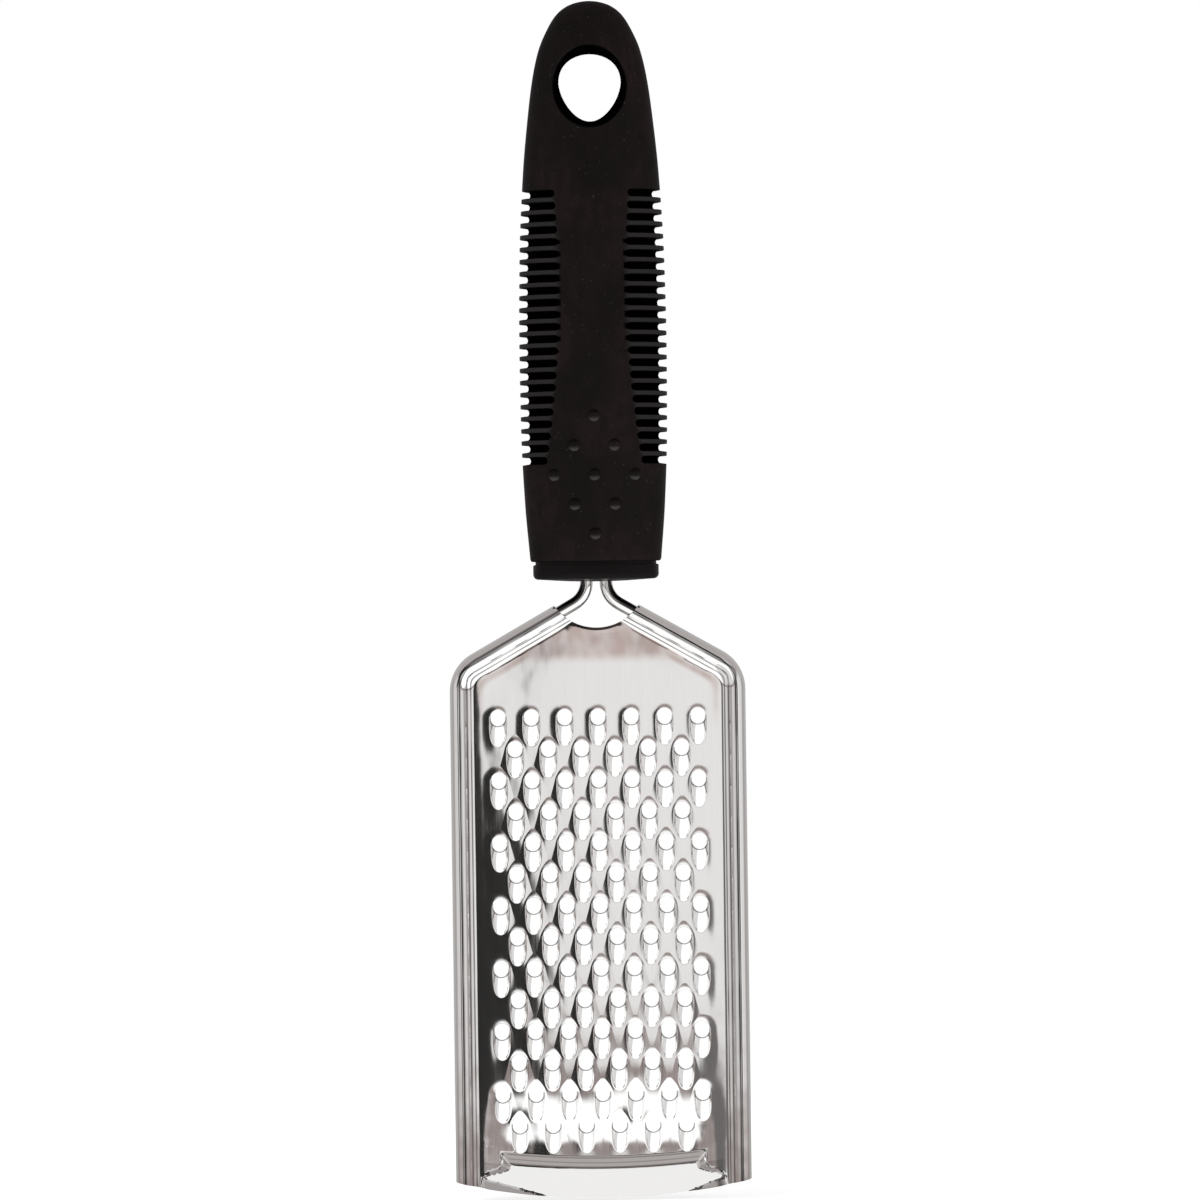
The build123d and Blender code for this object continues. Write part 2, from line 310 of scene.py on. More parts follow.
surface = add(tree, "ShaderNodeMixShader", {0: clear, 1: lit, 2: add(tree, "ShaderNodeBsdfTransparent")})
add(tree, "ShaderNodeOutputMaterial", {"Surface": surface})
floor_mesh.materials.append(floor_paint)
print("floor at", round(floor_z / mm, 1), "mm")

# %% [markdown]
# ## Sizes of the plate
# All of these are the frame's own sizes. The plate hangs under the handle: its arc-cut top is at
# plate_top, its rounded foot at plate_end, and both sides are rolled round the wires. Each wire leaves the
# handle as a tang, slopes outwards under the shoulder and then runs down as a leg.

# %% Plate sizes
sheet = 0.5 * mm
sheet_front = -sheet / 2
plate_end = cad_low[2]
plate_top = plate_end + 133.7 * mm
plate_half = cad_high[0]
hem_radius = 2.05 * mm
hem_blend_radius = 3.0 * mm
hem_end_angle = math.radians(15)
leg_x = plate_half - hem_radius
shoulder = math.radians(29.7)
corner_bend = 8.0 * mm
neck_arc = 12.0 * mm
foot_arc = 140.0 * mm
neck_centre = plate_top + neck_arc
foot_centre = plate_end + foot_arc
tang_x = 2.3 * mm
neck_bend = 5.9 * mm
neck_straight = 0.1 * mm
neck_drop = neck_straight + neck_bend * math.tan((math.pi / 2 - shoulder) / 2)
collar_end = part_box("end_collar")[0][2]
neck_corner = collar_end - neck_drop
shoulder_corner = neck_corner - (leg_x - tang_x) * math.tan(shoulder)
gable_z = neck_corner + tang_x * math.tan(shoulder)
hem_reach = math.sqrt((hem_radius + hem_blend_radius - sheet / 2) ** 2 - hem_blend_radius ** 2)
flat_half = leg_x - hem_reach
print("plate from", round(plate_top / mm, 1), "to", round(plate_end / mm, 1))

# %% [markdown]
# ## The hems
# On the real plate each side is rolled forwards over a wire and round behind it. The outside of that roll
# is drawn once, as a curve across the wire, and carried along the wire's own line: down the shoulder,
# round the corner and down the leg. A bevelled curve could draw the roll as well, but its ends would be
# square. Here every point stops where the neck arc or the foot arc cuts the plate, so the ends follow it.


# %% Hem profile and path
def hem_profile():
    """Points of the sheet's outer face across the wire: (inward, back), from the flat to the rolled end."""
    rise = math.atan2(-hem_blend_radius, hem_reach)
    radius = hem_blend_radius - sheet / 2
    points = [(hem_reach + radius * math.cos(turn), radius * math.sin(turn) - hem_blend_radius)
              for turn in np.linspace(math.pi / 2, math.pi + rise, 7)]
    return points + [(hem_radius * math.cos(turn), hem_radius * math.sin(turn))
                     for turn in np.linspace(rise, hem_end_angle - 2 * math.pi, 31)[1:]]


def neck_cut(start, heading):
    """How far along a line from start it leaves the circle of the neck arc."""
    offset = start - np.array([0, neck_centre])
    half = float(offset @ heading)
    return math.sqrt(half * half - float(offset @ offset) + neck_arc ** 2) - half


def hem_line(inward):
    """Plan points of one lengthwise line of the right hem, from the neck cut to the foot cut."""
    down = np.array([math.cos(shoulder), -math.sin(shoulder)])
    within = np.array([-math.sin(shoulder), -math.cos(shoulder)])
    quarter = math.pi / 2 - shoulder
    bend_start = np.array([leg_x, shoulder_corner]) - down * corner_bend * math.tan(quarter / 2)
    centre = bend_start + within * corner_bend
    start = np.array([tang_x, neck_corner]) + within * inward
    top = start + down * neck_cut(start, down)
    along = bend_start + within * inward - top
    slope = [top + along * share for share in np.linspace(0, 1, 12, endpoint=False)]
    bend = [centre + (corner_bend - inward) * np.array([math.cos(turn), math.sin(turn)])
            for turn in np.linspace(quarter, 0, 11)]
    side_x = leg_x - inward
    foot_z = foot_centre - math.sqrt(foot_arc ** 2 - side_x ** 2)
    return slope + bend + [np.array([side_x, z]) for z in np.linspace(bend[-1][1], foot_z, 41)[1:]]


profile = hem_profile()
hem_lines = [hem_line(inward) for inward, back in profile]
print("hem:", len(profile), "by", len(hem_lines[0]), "points")

# %% [markdown]
# ## One tooth
# A tooth starts as a punched hole. Its lower lip is pushed out into a leaning scoop, with the open mouth
# towards the handle. The patch below is one such tooth in its own small oval of sheet: rays run from the
# oval's edge, over a small fillet, up to a spine along the scoop's back. A boolean could cut the hole, but
# leaves long thin faces that shade badly. So all the patches are set into oval openings of the flat sheet
# and welded there.

# %% Tooth sizes
tooth_radius = 1.86 * mm
tooth_reach = 6.6 * mm
tooth_height = 1.8 * mm
tooth_fillet = 0.16 * mm
tooth_edge = tooth_fillet + 0.2 * mm
hole_rise = 1.78 * mm
hole_dip = 0.03 * mm
mouth_drop = 1.85 * mm
spine_stop = 1.5 * mm
fillet_start = 0.9 * mm
foot_power = 4.0
crest_start_power = 1.15
crest_end_power = 0.7
rays_per_side = 12
scoop_steps = 7
fillet_shares = [1.0, 0.7, 0.45, 0.22, 0.0]
print("tooth:", round(tooth_reach / mm, 1), "mm long,", round(tooth_height / mm, 1), "mm high")


# %% Tooth rays
def crest_height(down):
    """Height of the scoop's back at a distance below the hole's middle."""
    return tooth_height * max(0.0, 1 - (down / tooth_reach) ** crest_start_power) ** crest_end_power


def foot_line():
    """Right-hand foot line from the mouth's corner to the toe: (x, z, outward x, outward z, fillet)."""
    points = []
    for step in range(rays_per_side + 1):
        share = math.sin(step / rays_per_side * math.pi / 2)
        points.append((tooth_radius * math.sqrt(max(0.0, 1 - share ** foot_power)), -tooth_reach * share))
    straight = {0: (1.0, 0.0), rays_per_side: (0.0, -1.0)}
    line = []
    for index, (x, z) in enumerate(points):
        before, after = points[max(index - 1, 0)], points[min(index + 1, rays_per_side)]
        along = Vector((after[0] - before[0], after[1] - before[1])).normalized()
        eased_in = min(1.0, -z / fillet_start)
        fillet = tooth_fillet * eased_in * eased_in * (3 - 2 * eased_in)
        line.append((x, z, *straight.get(index, (-along.y, along.x)), fillet))
    return line


def tooth_ray(x, z, out_x, out_z, fillet, spine_z, crest):
    """Points of one ray: (x, z, height) from the oval's edge to the spine."""
    points = [(x + out_x * tooth_edge, z + out_z * tooth_edge, 0.0)]
    for share in fillet_shares:
        rise = fillet * (1 - math.sqrt(1 - (1 - share) ** 2))
        points.append((x + out_x * tooth_fillet * share, z + out_z * tooth_fillet * share, rise))
    start = math.asin(min(0.95, fillet / crest))
    for step in range(1, scoop_steps + 1):
        turn = start + step / scoop_steps * (math.pi / 2 - start)
        share = (math.sin(turn) - math.sin(start)) / (1 - math.sin(start))
        inward = math.cos(turn) / math.cos(start)
        points.append((x * inward, z + (spine_z - z) * share, crest * math.sin(turn)))
    return points


def scoop_rays():
    """The rays of the scoop's right half, from the mouth's corner to the toe."""
    rays = []
    for index, foot in enumerate(foot_line()):
        spine_z = -mouth_drop - index / rays_per_side * (tooth_reach - spine_stop - mouth_drop)
        rays.append(tooth_ray(*foot, spine_z, crest_height(-spine_z)))
    return rays


def hole_rays():
    """Rays from the oval's edge to the hole's rim, which dips a little, from left to right."""
    rays = []
    for turn in np.linspace(math.pi, 0, 13):
        cos, sin = math.cos(turn), math.sin(turn)
        outward = [tooth_edge] + [tooth_fillet * share for share in fillet_shares]
        dips = [0.0] + [hole_dip * (1 - share) ** 2 * sin for share in fillet_shares]
        rays.append([(cos * (tooth_radius + out), hole_rise * sin + out * sin, -dip)
                     for out, dip in zip(outward, dips)])
    return rays


right_rays = scoop_rays()
left_rays = [[(-x, z, height) for x, z, height in ray] for ray in right_rays[::-1]]
upper_rays = hole_rays()
oval = [ray[0][:2] for ray in upper_rays[:0:-1] + left_rays[:0:-1] + right_rays[:0:-1]]
print("rays:", len(right_rays) + len(left_rays) + len(upper_rays), "edge points:", len(oval))


# %% Tooth patch
def join_rings(skin, rings, closed=True):
    """Faces between rings of vertices. A ring of one vertex is a tip."""
    for first, second in zip(rings, rings[1:]):
        count = max(len(first), len(second))
        for column in range(count if closed else count - 1):
            after = column + 1
            corners = (first[column % len(first)], first[after % len(first)],
                       second[after % len(second)], second[column % len(second)])
            skin.faces.new(list(dict.fromkeys(corners)))


tooth_weld = 0.002 * mm

patch = bmesh.new()
for rays in (right_rays, left_rays, upper_rays):
    rings = [[patch.verts.new((x, sheet_front - height, z)) for x, z, height in ray] for ray in rays]
    join_rings(patch, rings, closed=False)
bmesh.ops.remove_doubles(patch, verts=patch.verts, dist=tooth_weld)
bmesh.ops.recalc_face_normals(patch, faces=patch.faces)
if sum(face.normal.y for face in patch.faces) > 0:
    bmesh.ops.reverse_faces(patch, faces=patch.faces)
tooth_data = bpy.data.meshes.new("tooth_patch")
patch.to_mesh(tooth_data)
patch.free()
print("tooth faces:", len(tooth_data.polygons))

# %% [markdown]
# ## Rows of teeth
# Fourteen rows, with seven and six teeth in turn, are a pattern with a rule. Two Array modifiers would
# need two objects, so one Geometry Nodes tree lays them out. A line of points is numbered, each number is
# split into its row and its place in the row, and the tooth is set on every point. The seventh place of
# the short rows is deleted. Realize Instances turns the pattern into plain mesh, which new_from_object
# then hands back.


# %% Groups and trees
def new_group(name, kind, inputs, output, output_kind):
    """A node group with named inputs. Returns it, its inputs as values by name, and its end's socket."""
    group = bpy.data.node_groups.new(name, kind)
    for label, socket_kind in inputs.items():
        group.interface.new_socket(label, in_out="INPUT", socket_type="NodeSocket" + socket_kind)
    group.interface.new_socket(output, in_out="OUTPUT", socket_type="NodeSocket" + output_kind)
    start, end = group.nodes.new("NodeGroupInput"), group.nodes.new("NodeGroupOutput")
    return group, {label: Value(group, start.outputs[label]) for label in inputs}, end.inputs[0]


def shape_tree(name, values):
    """A Geometry Nodes tree that changes a shape, with a named input for each of the values."""
    kinds = {label: type(value).__name__.capitalize() for label, value in values.items()}
    return new_group(name, "GeometryNodeTree", {"Geometry": "Geometry", **kinds}, "Geometry", "Geometry")


def spread(points, pattern):
    """A pattern object's mesh, set on every point as real mesh."""
    tree = points.tree
    shape = add(tree, "GeometryNodeObjectInfo", {"Object": pattern}, "Geometry")
    copies = add(tree, "GeometryNodeInstanceOnPoints", {"Points": points, "Instance": shape})
    return add(tree, "GeometryNodeRealizeInstances", {0: copies})


def run_tree(name, tree, values, mesh=None):
    """The mesh that a tree makes with the given input values."""
    holder = in_scene(name, mesh or bpy.data.meshes.new(name))
    modifier = holder.modifiers.new(name, "NODES")
    modifier.node_group = tree
    for item in tree.interface.items_tree:
        if item.in_out == "INPUT" and item.name in values:
            modifier[item.identifier] = values[item.name]
    graph = bpy.context.evaluated_depsgraph_get()
    result = bpy.data.meshes.new_from_object(holder.evaluated_get(graph), depsgraph=graph)
    holder.modifiers.remove(modifier)
    bpy.data.objects.remove(holder)
    return result


def new_material(name):
    """A material with a Principled shader."""
    material = bpy.data.materials.new(name)
    material.use_nodes = True
    return material


steel = new_material("stainless_sheet")
print("first material:", steel.name)

# %% Tooth rows by Geometry Nodes
tooth_rows = 14
long_row = 7
tooth_pitch = 7.8 * mm
tooth_row_pitch = 7.34 * mm
first_row = plate_top - 20.9 * mm

tooth_pattern = in_scene("tooth_patch", tooth_data)
values = {"Tooth": tooth_pattern, "Rows": tooth_rows, "Long Row": long_row, "Pitch": tooth_pitch,
          "Row Pitch": tooth_row_pitch, "First Row": first_row, "Material": steel}
tree, given, end = shape_tree("tooth_rows", values)
number = add(tree, "GeometryNodeInputIndex")
row = calc("FLOOR", number / given["Long Row"])
place = number - row * given["Long Row"]
in_row = given["Long Row"] - calc("MODULO", row, 2.0)
across = (place - (in_row - 1.0) / 2.0) * given["Pitch"]
down = given["First Row"] - row * given["Row Pitch"]
spot = add(tree, "ShaderNodeCombineXYZ", {"X": across, "Z": down})
line = add(tree, "GeometryNodeMeshLine", {"Count": given["Rows"] * given["Long Row"]}, "Mesh")
points = add(tree, "GeometryNodeSetPosition", {"Geometry": line, "Position": spot})
past_row = calc("GREATER_THAN", place - in_row, -0.5)
points = add(tree, "GeometryNodeDeleteGeometry", {"Geometry": points, "Selection": past_row}, domain="POINT")
copies = spread(points, given["Tooth"])
plug(add(tree, "GeometryNodeSetMaterial", {"Geometry": copies, "Material": given["Material"]}), end)

teeth = run_tree("teeth", tree, values)
bpy.data.objects.remove(tooth_pattern)
print("teeth:", len(teeth.vertices) // len(tooth_data.vertices), "of", len(tooth_data.polygons), "faces")

# %% [markdown]
# ## The flat of the sheet
# The flat is one face with 91 oval openings. Cut by booleans it would have no points to bend by, so a
# constrained Delaunay triangulation fills it: the hem lines, the neck arc, the foot arc and the ovals are
# edges that it has to keep, and loose points inside give it vertices to bend by. They stand close where
# the sheet bends most: at the ridge, under the neck and along the shoulders. Triangles that fall in an
# oval or outside are dropped.


# %% Outline and openings
def below(centre_z, radius, turn):
    """A plan point on a circle about the middle line, at a turn from straight down."""
    return radius * math.sin(turn), centre_z - radius * math.cos(turn)


tooth_spots = []
for row_number in range(tooth_rows):
    count = long_row - row_number % 2
    for place_number in range(count):
        tooth_spots.append(((place_number - (count - 1) / 2) * tooth_pitch,
                            first_row - row_number * tooth_row_pitch))

right_edge = [tuple(point) for point in hem_lines[0]]
left_edge = [(-x, z) for x, z in reversed(right_edge)]
neck_turn = math.atan2(right_edge[0][0], neck_centre - right_edge[0][1])
neck_points = [below(neck_centre, neck_arc, turn) for turn in np.linspace(-neck_turn, neck_turn, 25)[1:-1]]
foot_points = [(x, foot_centre - math.sqrt(foot_arc ** 2 - x ** 2))
               for x in np.linspace(flat_half, -flat_half, 73)[1:-1]]
outline = right_edge + foot_points + left_edge + neck_points
print("outline:", len(outline), "points, openings:", len(tooth_spots))

# %% Loose points
ridge_rise = 9.7 * mm
ridge_arc = 195.0 * mm
ridge_centre = plate_end + ridge_rise + ridge_arc
grid_step = 1.3 * mm
ridge_step = 0.42 * mm
shoulder_step = 0.9 * mm
tooth_side = 3.2 * mm
tooth_below = 7.8 * mm
tooth_above = 3.0 * mm
shoulder_clear = 0.6 * mm
ridge_offsets = [-1.2, -0.6, -0.3, 0.0, 0.3, 0.7, 1.1, 1.5, 1.8, 2.0, 2.2, 2.4, 2.7, 3.1, 3.5]
ridge_offsets += [4.0 + 0.5 * step for step in range(12)]


def beside_tooth(x, z):
    """A plan point's place, seen from the middle of each tooth that it may touch."""
    return [(x - spot_x, z - spot_z) for spot_x, spot_z in tooth_spots
            if abs(x - spot_x) < tooth_side and -tooth_below < z - spot_z < tooth_above]


def near_oval(x, z, margin):
    """Whether a plan point is in or near one of the ovals."""
    for across, up in beside_tooth(x, z):
        reach, power = (hole_rise, 2) if up > 0 else (tooth_reach, foot_power)
        width = abs(across) / (tooth_radius + tooth_edge + margin)
        if width ** 2 + (abs(up) / (reach + tooth_edge + margin)) ** power < 1:
            return True
    return False


def inside_outline(x, z, margin):
    """Whether a plan point is on the flat, a margin inside its edges."""
    if abs(x) > flat_half - margin or math.hypot(x, z - neck_centre) < neck_arc + margin:
        return False
    if math.hypot(x, z - foot_centre) > foot_arc - margin:
        return False
    slope_z = gable_z - (hem_reach + margin) / math.cos(shoulder)
    return z < slope_z - abs(x) * math.tan(shoulder) - shoulder_clear


def kept(candidates, from_edge, from_oval):
    """The plan points that lie on the flat and keep clear of its edges and ovals."""
    return [(x, z) for x, z in candidates
            if inside_outline(x, z, from_edge) and not near_oval(x, z, from_oval)]


rows_up = int((plate_top - plate_end - ridge_rise - 2.0 * mm) / grid_step) + 1
loose = kept([(i * grid_step, plate_top - j * grid_step) for i in range(-24, 25) for j in range(rows_up)],
             from_edge=0.5 * mm, from_oval=0.35 * mm)
for offset in ridge_offsets:
    loose += kept([below(ridge_centre, ridge_arc + offset * mm, i * ridge_step / ridge_arc)
                   for i in range(-70, 71)], from_edge=0.2 * mm, from_oval=0.12 * mm)
for turn in np.linspace(-neck_turn, neck_turn, 65)[1:-1]:
    loose += kept([below(neck_centre, neck_arc + offset * mm, turn) for offset in (0.35, 0.75)],
                  from_edge=0.25 * mm, from_oval=0)
for step in range(1, 36):
    x = flat_half - step * shoulder_step * math.cos(shoulder) - 1.5 * mm
    z = gable_z - x * math.tan(shoulder) - (hem_reach + 0.5 * mm) / math.cos(shoulder)
    if x > 7 * mm:
        loose += [(-x, z), (x, z)]
print("loose points:", len(loose))


# %% Fill the flat
def in_polygon(x, z, loop):
    """Whether a plan point is inside a closed loop of points."""
    inside = False
    for (x1, z1), (x2, z2) in zip(loop, loop[1:] + loop[:1]):
        if (z1 > z) != (z2 > z) and x < x1 + (z - z1) / (z2 - z1) * (x2 - x1):
            inside = not inside
    return inside


points = list(outline)
loops = [list(range(len(outline)))]
for spot_x, spot_z in tooth_spots:
    first = len(points)
    points.extend((spot_x + x, spot_z + z) for x, z in oval)
    loops.append(list(range(first, len(points))))
edges = [(a, b) for loop in loops for a, b in zip(loop, loop[1:] + loop[:1])]
scaled = [Vector((x / mm, z / mm)) for x, z in points + loose]
plan, _, plan_faces = delaunay_2d_cdt(scaled, edges, [], 0, 1e-5)[:3]


def on_flat(face):
    """Whether a triangle's middle is on the sheet and not in an opening."""
    x, z = (sum(plan[i][axis] for i in face) / 3 * mm for axis in (0, 1))
    return in_polygon(x, z, outline) and not any(in_polygon(*place, oval) for place in beside_tooth(x, z))


flat_faces = [face for face in plan_faces if on_flat(face)]
print("flat:", len(plan), "points,", len(flat_faces), "triangles")

# %% [markdown]
# ## Pressing the sheet
# Once the sheet is welded together, gentle shapes are pressed into all of it. Thin punched sheet lies back
# a little between its hems, which bends its reflections, and its neck edge curls. The ridge near the foot
# is a short flank, a rounded crest and a long slope down to the lip, with drafted ends. The lowest rows of
# teeth lean back towards the ridge, and the two corners beside the lip lift beyond a crease. All this
# could be sculpted, but formulas of the plan place are exact and move teeth, flat and hems together.

# %% Hollow between the hems
hollow_lean = math.radians(3.8)
hollow_run = 17.0 * mm
right_run = 18.0 * mm
shoulder_run = 7.0 * mm
upper_share = 0.36
upper_start = -204 * mm
upper_run = 58 * mm
neck_fall = 0.12 * mm
neck_run = 6 * mm
curl_reach = 0.6 * mm
curl_depth = 0.10 * mm
curl_half = 9.5 * mm
curl_fade = 4 * mm


def eased(value):
    """A value from 0 to 1, with a soft start and end."""
    value = np.clip(value, 0, 1)
    return value * value * (3 - 2 * value)


def from_shoulder(x, z, side):
    """How far a point lies inside the line where the flat meets the sloping part of a hem."""
    line_z = gable_z - side * x * math.tan(shoulder)
    return np.clip((line_z - z) * math.cos(shoulder) - hem_reach, 0, None)


def hollow_shape(x, z):
    """How far the sheet lies back between its hems: steeply at the left, more slowly elsewhere."""
    depth = hollow_lean * hollow_run * np.tanh((x + flat_half) / hollow_run)
    depth *= np.tanh((flat_half - x) / right_run)
    depth *= 1 - (1 - upper_share) * eased((z - upper_start) / upper_run)
    from_neck = np.clip(np.hypot(x, z - neck_centre) - neck_arc, 0, None)
    depth -= neck_fall * np.exp(-from_neck / neck_run)
    for side in (-1, 1):
        depth *= np.tanh(from_shoulder(x, z, side) / shoulder_run)
    curl = curl_depth * np.clip(1 - from_neck / curl_reach, 0, 1) ** 2
    return (depth + curl * eased((curl_half - np.abs(x)) / curl_fade)) * (np.abs(x) < flat_half)


print("hollow: about", round(hollow_lean * hollow_run / mm, 2), "mm deep")

# %% Ridge, lip and corners
ridge_height = 2.0 * mm
ridge_flank = 2.5 * mm
ridge_half = 21.6 * mm
lip_half = 26.4 * mm
lip_start = 3.2 * mm
lip_flare = 3.5 * mm
lip_run_out = 0.9 * mm
ridge_draft = 2.2 * mm
crest_round = 0.5 * mm
crease_rise = 5.4 * mm
crease_tilt_left = 0.29
crease_tilt_right = 0.42
crease_stretch = 1.05
leaf_slope = 0.3
leaf_lift = 0.7 * mm


def soft_min(a, b, reach):
    """The smaller of two heights, rounded where they meet."""
    share = np.clip(0.5 + 0.5 * (b - a) / reach, 0, 1)
    return b + (a - b) * share - reach * share * (1 - share)


def inside_crease(x, z):
    """How far a point lies above the crease that cuts off a lower corner of the sheet."""
    tilt = np.where(x < 0, crease_tilt_left, crease_tilt_right)
    return (z - plate_end - crease_rise + (flat_half - np.abs(x)) * tilt) / crease_stretch


def ridge_shape(x, z):
    """Height of the pressed ridge and the lip below it, towards the front."""
    down = np.hypot(x, z - ridge_centre) - ridge_arc
    flank = down / ridge_flank * ridge_height
    slope = ridge_height * (1 - (down - ridge_flank) / (ridge_rise + lip_run_out - ridge_flank))
    half = ridge_half + (lip_half - ridge_half) * eased((down - lip_start) / lip_flare)
    ends = (half + ridge_draft - np.abs(x)) / ridge_draft * ridge_height
    corners = inside_crease(x, z) / (1.6 * ridge_draft) * ridge_height
    ends = soft_min(ends, corners, 2 * crest_round)
    height = soft_min(soft_min(flank, slope, crest_round), ends, crest_round)
    return np.where(height > 0, height, 0) * (down > -1 * mm)


def leaf_shape(x, z):
    """The two corners beside the lip, which lift a little beyond their crease."""
    beyond = np.clip(-inside_crease(x, z), 0, None)
    return -np.minimum(beyond * leaf_slope, leaf_lift) * (np.abs(x) < flat_half)


print("ridge:", round(2 * ridge_half / mm, 1), "mm wide, lip:", round(2 * lip_half / mm, 1), "mm wide")

# %% Bend above the ridge
bend_leans = [  # (height in mm, lean in degrees), from the foot upwards
    (-262, 0.4), (-248.6, 0.5), (-246, 3.0), (-239, 3.2), (-231, 0.8), (-213, 0.45), (-199, 0.0)]
bend_change = -243 * mm
bend_change_run = 5 * mm
bend_fade = 9 * mm
slow_wave = 1.6 * mm
slow_wave_length = 4.3 * mm
tooth_wave = 1.1 * mm


def foot_bend(x, z):
    """How far the lower rows lean back towards the ridge. Waves across it keep its edges uneven."""
    upper = eased((z - bend_change) / bend_change_run)
    z = z - slow_wave * np.sin(x / slow_wave_length) * upper
    z = z - tooth_wave * np.cos(2 * math.pi * x / tooth_pitch) * (1 - upper)
    heights = np.linspace(bend_leans[0][0], bend_leans[-1][0], 253) * mm
    rows_at, rows_lean = np.array(bend_leans).T
    leans = np.interp(heights, rows_at * mm, np.radians(rows_lean))
    back = np.cumsum(leans[::-1])[::-1] * (heights[1] - heights[0])
    return np.interp(z, heights, back, right=0.0) * eased((flat_half - np.abs(x)) / bend_fade)


def press(mesh):
    """Move a mesh's points by the pressed shapes."""
    where = np.empty(len(mesh.vertices) * 3)
    mesh.vertices.foreach_get("co", where)
    where = where.reshape(-1, 3)
    x, z = where[:, 0], where[:, 2]
    where[:, 1] += hollow_shape(x, z) + foot_bend(x, z) + leaf_shape(x, z) - ridge_shape(x, z)
    mesh.vertices.foreach_set("co", where.ravel())
    mesh.update()


print("bend: back by", round(float(foot_bend(0.0, plate_end)) / mm, 2), "mm at the foot")

# %% [markdown]
# ## Welding the plate
# The teeth, the flat and the two hems share their edge points, so merging what lies together makes one
# skin. It is pressed, and Solidify then gives it the sheet's wall behind the outer face. The wall is
# thinner in the scoops, as metal is where it was stretched.

# %% Weld the plate together
plate_weld = 0.004 * mm

plate = bmesh.new()
plate.from_mesh(teeth)
corners = [plate.verts.new((x * mm, sheet_front, z * mm)) for x, z in plan]
for face in flat_faces:
    plate.faces.new([corners[i] for i in face])
for side in (1, -1):
    join_rings(plate, [[plate.verts.new((side * x, back, z)) for x, z in line]
                       for (inward, back), line in zip(profile, hem_lines)], closed=False)
bmesh.ops.delete(plate, geom=[vertex for vertex in plate.verts if not vertex.link_faces], context="VERTS")
bmesh.ops.remove_doubles(plate, verts=plate.verts, dist=plate_weld)
bmesh.ops.recalc_face_normals(plate, faces=plate.faces)
flat_normal = sum(face.normal.y * face.calc_area() for face in plate.faces
                  if abs(face.calc_center_median().x) < flat_half)
if flat_normal > 0:
    bmesh.ops.reverse_faces(plate, faces=plate.faces)
plate_mesh = bpy.data.meshes.new("grater_sheet")
plate.to_mesh(plate_mesh)
plate.free()
raised = [max(0.0, sheet_front - vertex.co.y) for vertex in plate_mesh.vertices]
press(plate_mesh)
print("plate faces:", len(plate_mesh.polygons))

# %% Wall of the plate
plate_wall = sheet - 0.1 * mm
scoop_wall_share = 0.28
scoop_start = 0.2 * mm
plate_sharp = 40


def finished(name, mesh, material, sharp):
    """Link a mesh as a smooth-shaded object with one material and edges that stay sharp past an angle."""
    mesh.materials.clear()
    mesh.materials.append(material)
    mesh.polygons.foreach_set("use_smooth", [True] * len(mesh.polygons))
    mesh.set_sharp_from_angle(angle=math.radians(sharp))
    return in_scene(name, mesh)


def apply_modifiers(made):
    """Replace an object's mesh by what its modifiers make of it."""
    graph = bpy.context.evaluated_depsgraph_get()
    result = bpy.data.meshes.new_from_object(made.evaluated_get(graph), depsgraph=graph)
    made.modifiers.clear()
    made.data = result


grater_sheet = finished("grater_sheet", plate_mesh, steel, plate_sharp)
wall = grater_sheet.modifiers.new("thickness", "SOLIDIFY")
wall.thickness = plate_wall
wall.offset = -1
thin = grater_sheet.vertex_groups.new(name="thickness")
for vertex, height in zip(plate_mesh.vertices, raised):
    in_hem = abs(vertex.co.x) > flat_half - 1 * mm
    in_scoop = 0 if in_hem else min(1.0, height / scoop_start)
    thin.add([vertex.index], 1.0 - (1.0 - scoop_wall_share) * in_scoop, "REPLACE")
wall.vertex_group = thin.name
apply_modifiers(grater_sheet)
grater_sheet.data.set_sharp_from_angle(angle=math.radians(plate_sharp))
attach(grater_sheet, "root")
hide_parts("grater_plate")
print("plate triangles:", sum(len(p.vertices) - 2 for p in grater_sheet.data.polygons))

# %% [markdown]
# ## The soft handle
# The handle is soft rubber moulded over a hard core. A smoothed box could be pulled into shape, but rows
# from a table keep the measured outline. Its section is a full oval, a little squarer than an ellipse. The
# rows stand close where the finger grooves come, so the grooves can be pressed into them.

# %% Handle outline
handle_table = [  # (down from the tip, half width, half depth), mm
    (0.0, 0.0, 0.0), (1.3, 5.3, 2.7), (3.4, 7.8, 4.2), (6.8, 9.9, 5.5), (11.5, 11.9, 6.6), (18.4, 13.45, 7.3),
    (27.9, 14.7, 8.1), (40.4, 15.9, 9.1), (60.4, 16.95, 10.3), (80.4, 17.25, 11.0), (100.4, 17.1, 10.8),
    (117.4, 16.4, 10.1), (131.2, 15.3, 9.0)]
handle_tip = cad_high[2]
handle_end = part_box("grip_sleeve")[0][2]
oval_power = 2.2

table_at = np.array([math.sqrt(row[0]) for row in handle_table])
table_half = np.array([row[1:] for row in handle_table])
slope = np.diff(table_half, axis=0) / np.diff(table_at)[:, None]
inner = 2 * slope[:-1] * slope[1:] / (slope[:-1] + slope[1:] + 1e-12)
table_slope = np.vstack([slope[:1], np.where(slope[:-1] * slope[1:] > 0, inner, 0), slope[-1:]])


def handle_half(z):
    """Half the handle's width and depth at a height, on a curve that never overshoots the table."""
    at = math.sqrt(max(0.0, (handle_tip - z) / mm))
    i = int(np.clip(np.searchsorted(table_at, at) - 1, 0, len(table_at) - 2))
    span = table_at[i + 1] - table_at[i]
    t = (at - table_at[i]) / span
    half = (2 * t ** 3 - 3 * t ** 2 + 1) * table_half[i] + (t ** 3 - 2 * t ** 2 + t) * span * table_slope[i]
    half += (3 * t ** 2 - 2 * t ** 3) * table_half[i + 1] + (t ** 3 - t ** 2) * span * table_slope[i + 1]
    return half[0] * mm, half[1] * mm


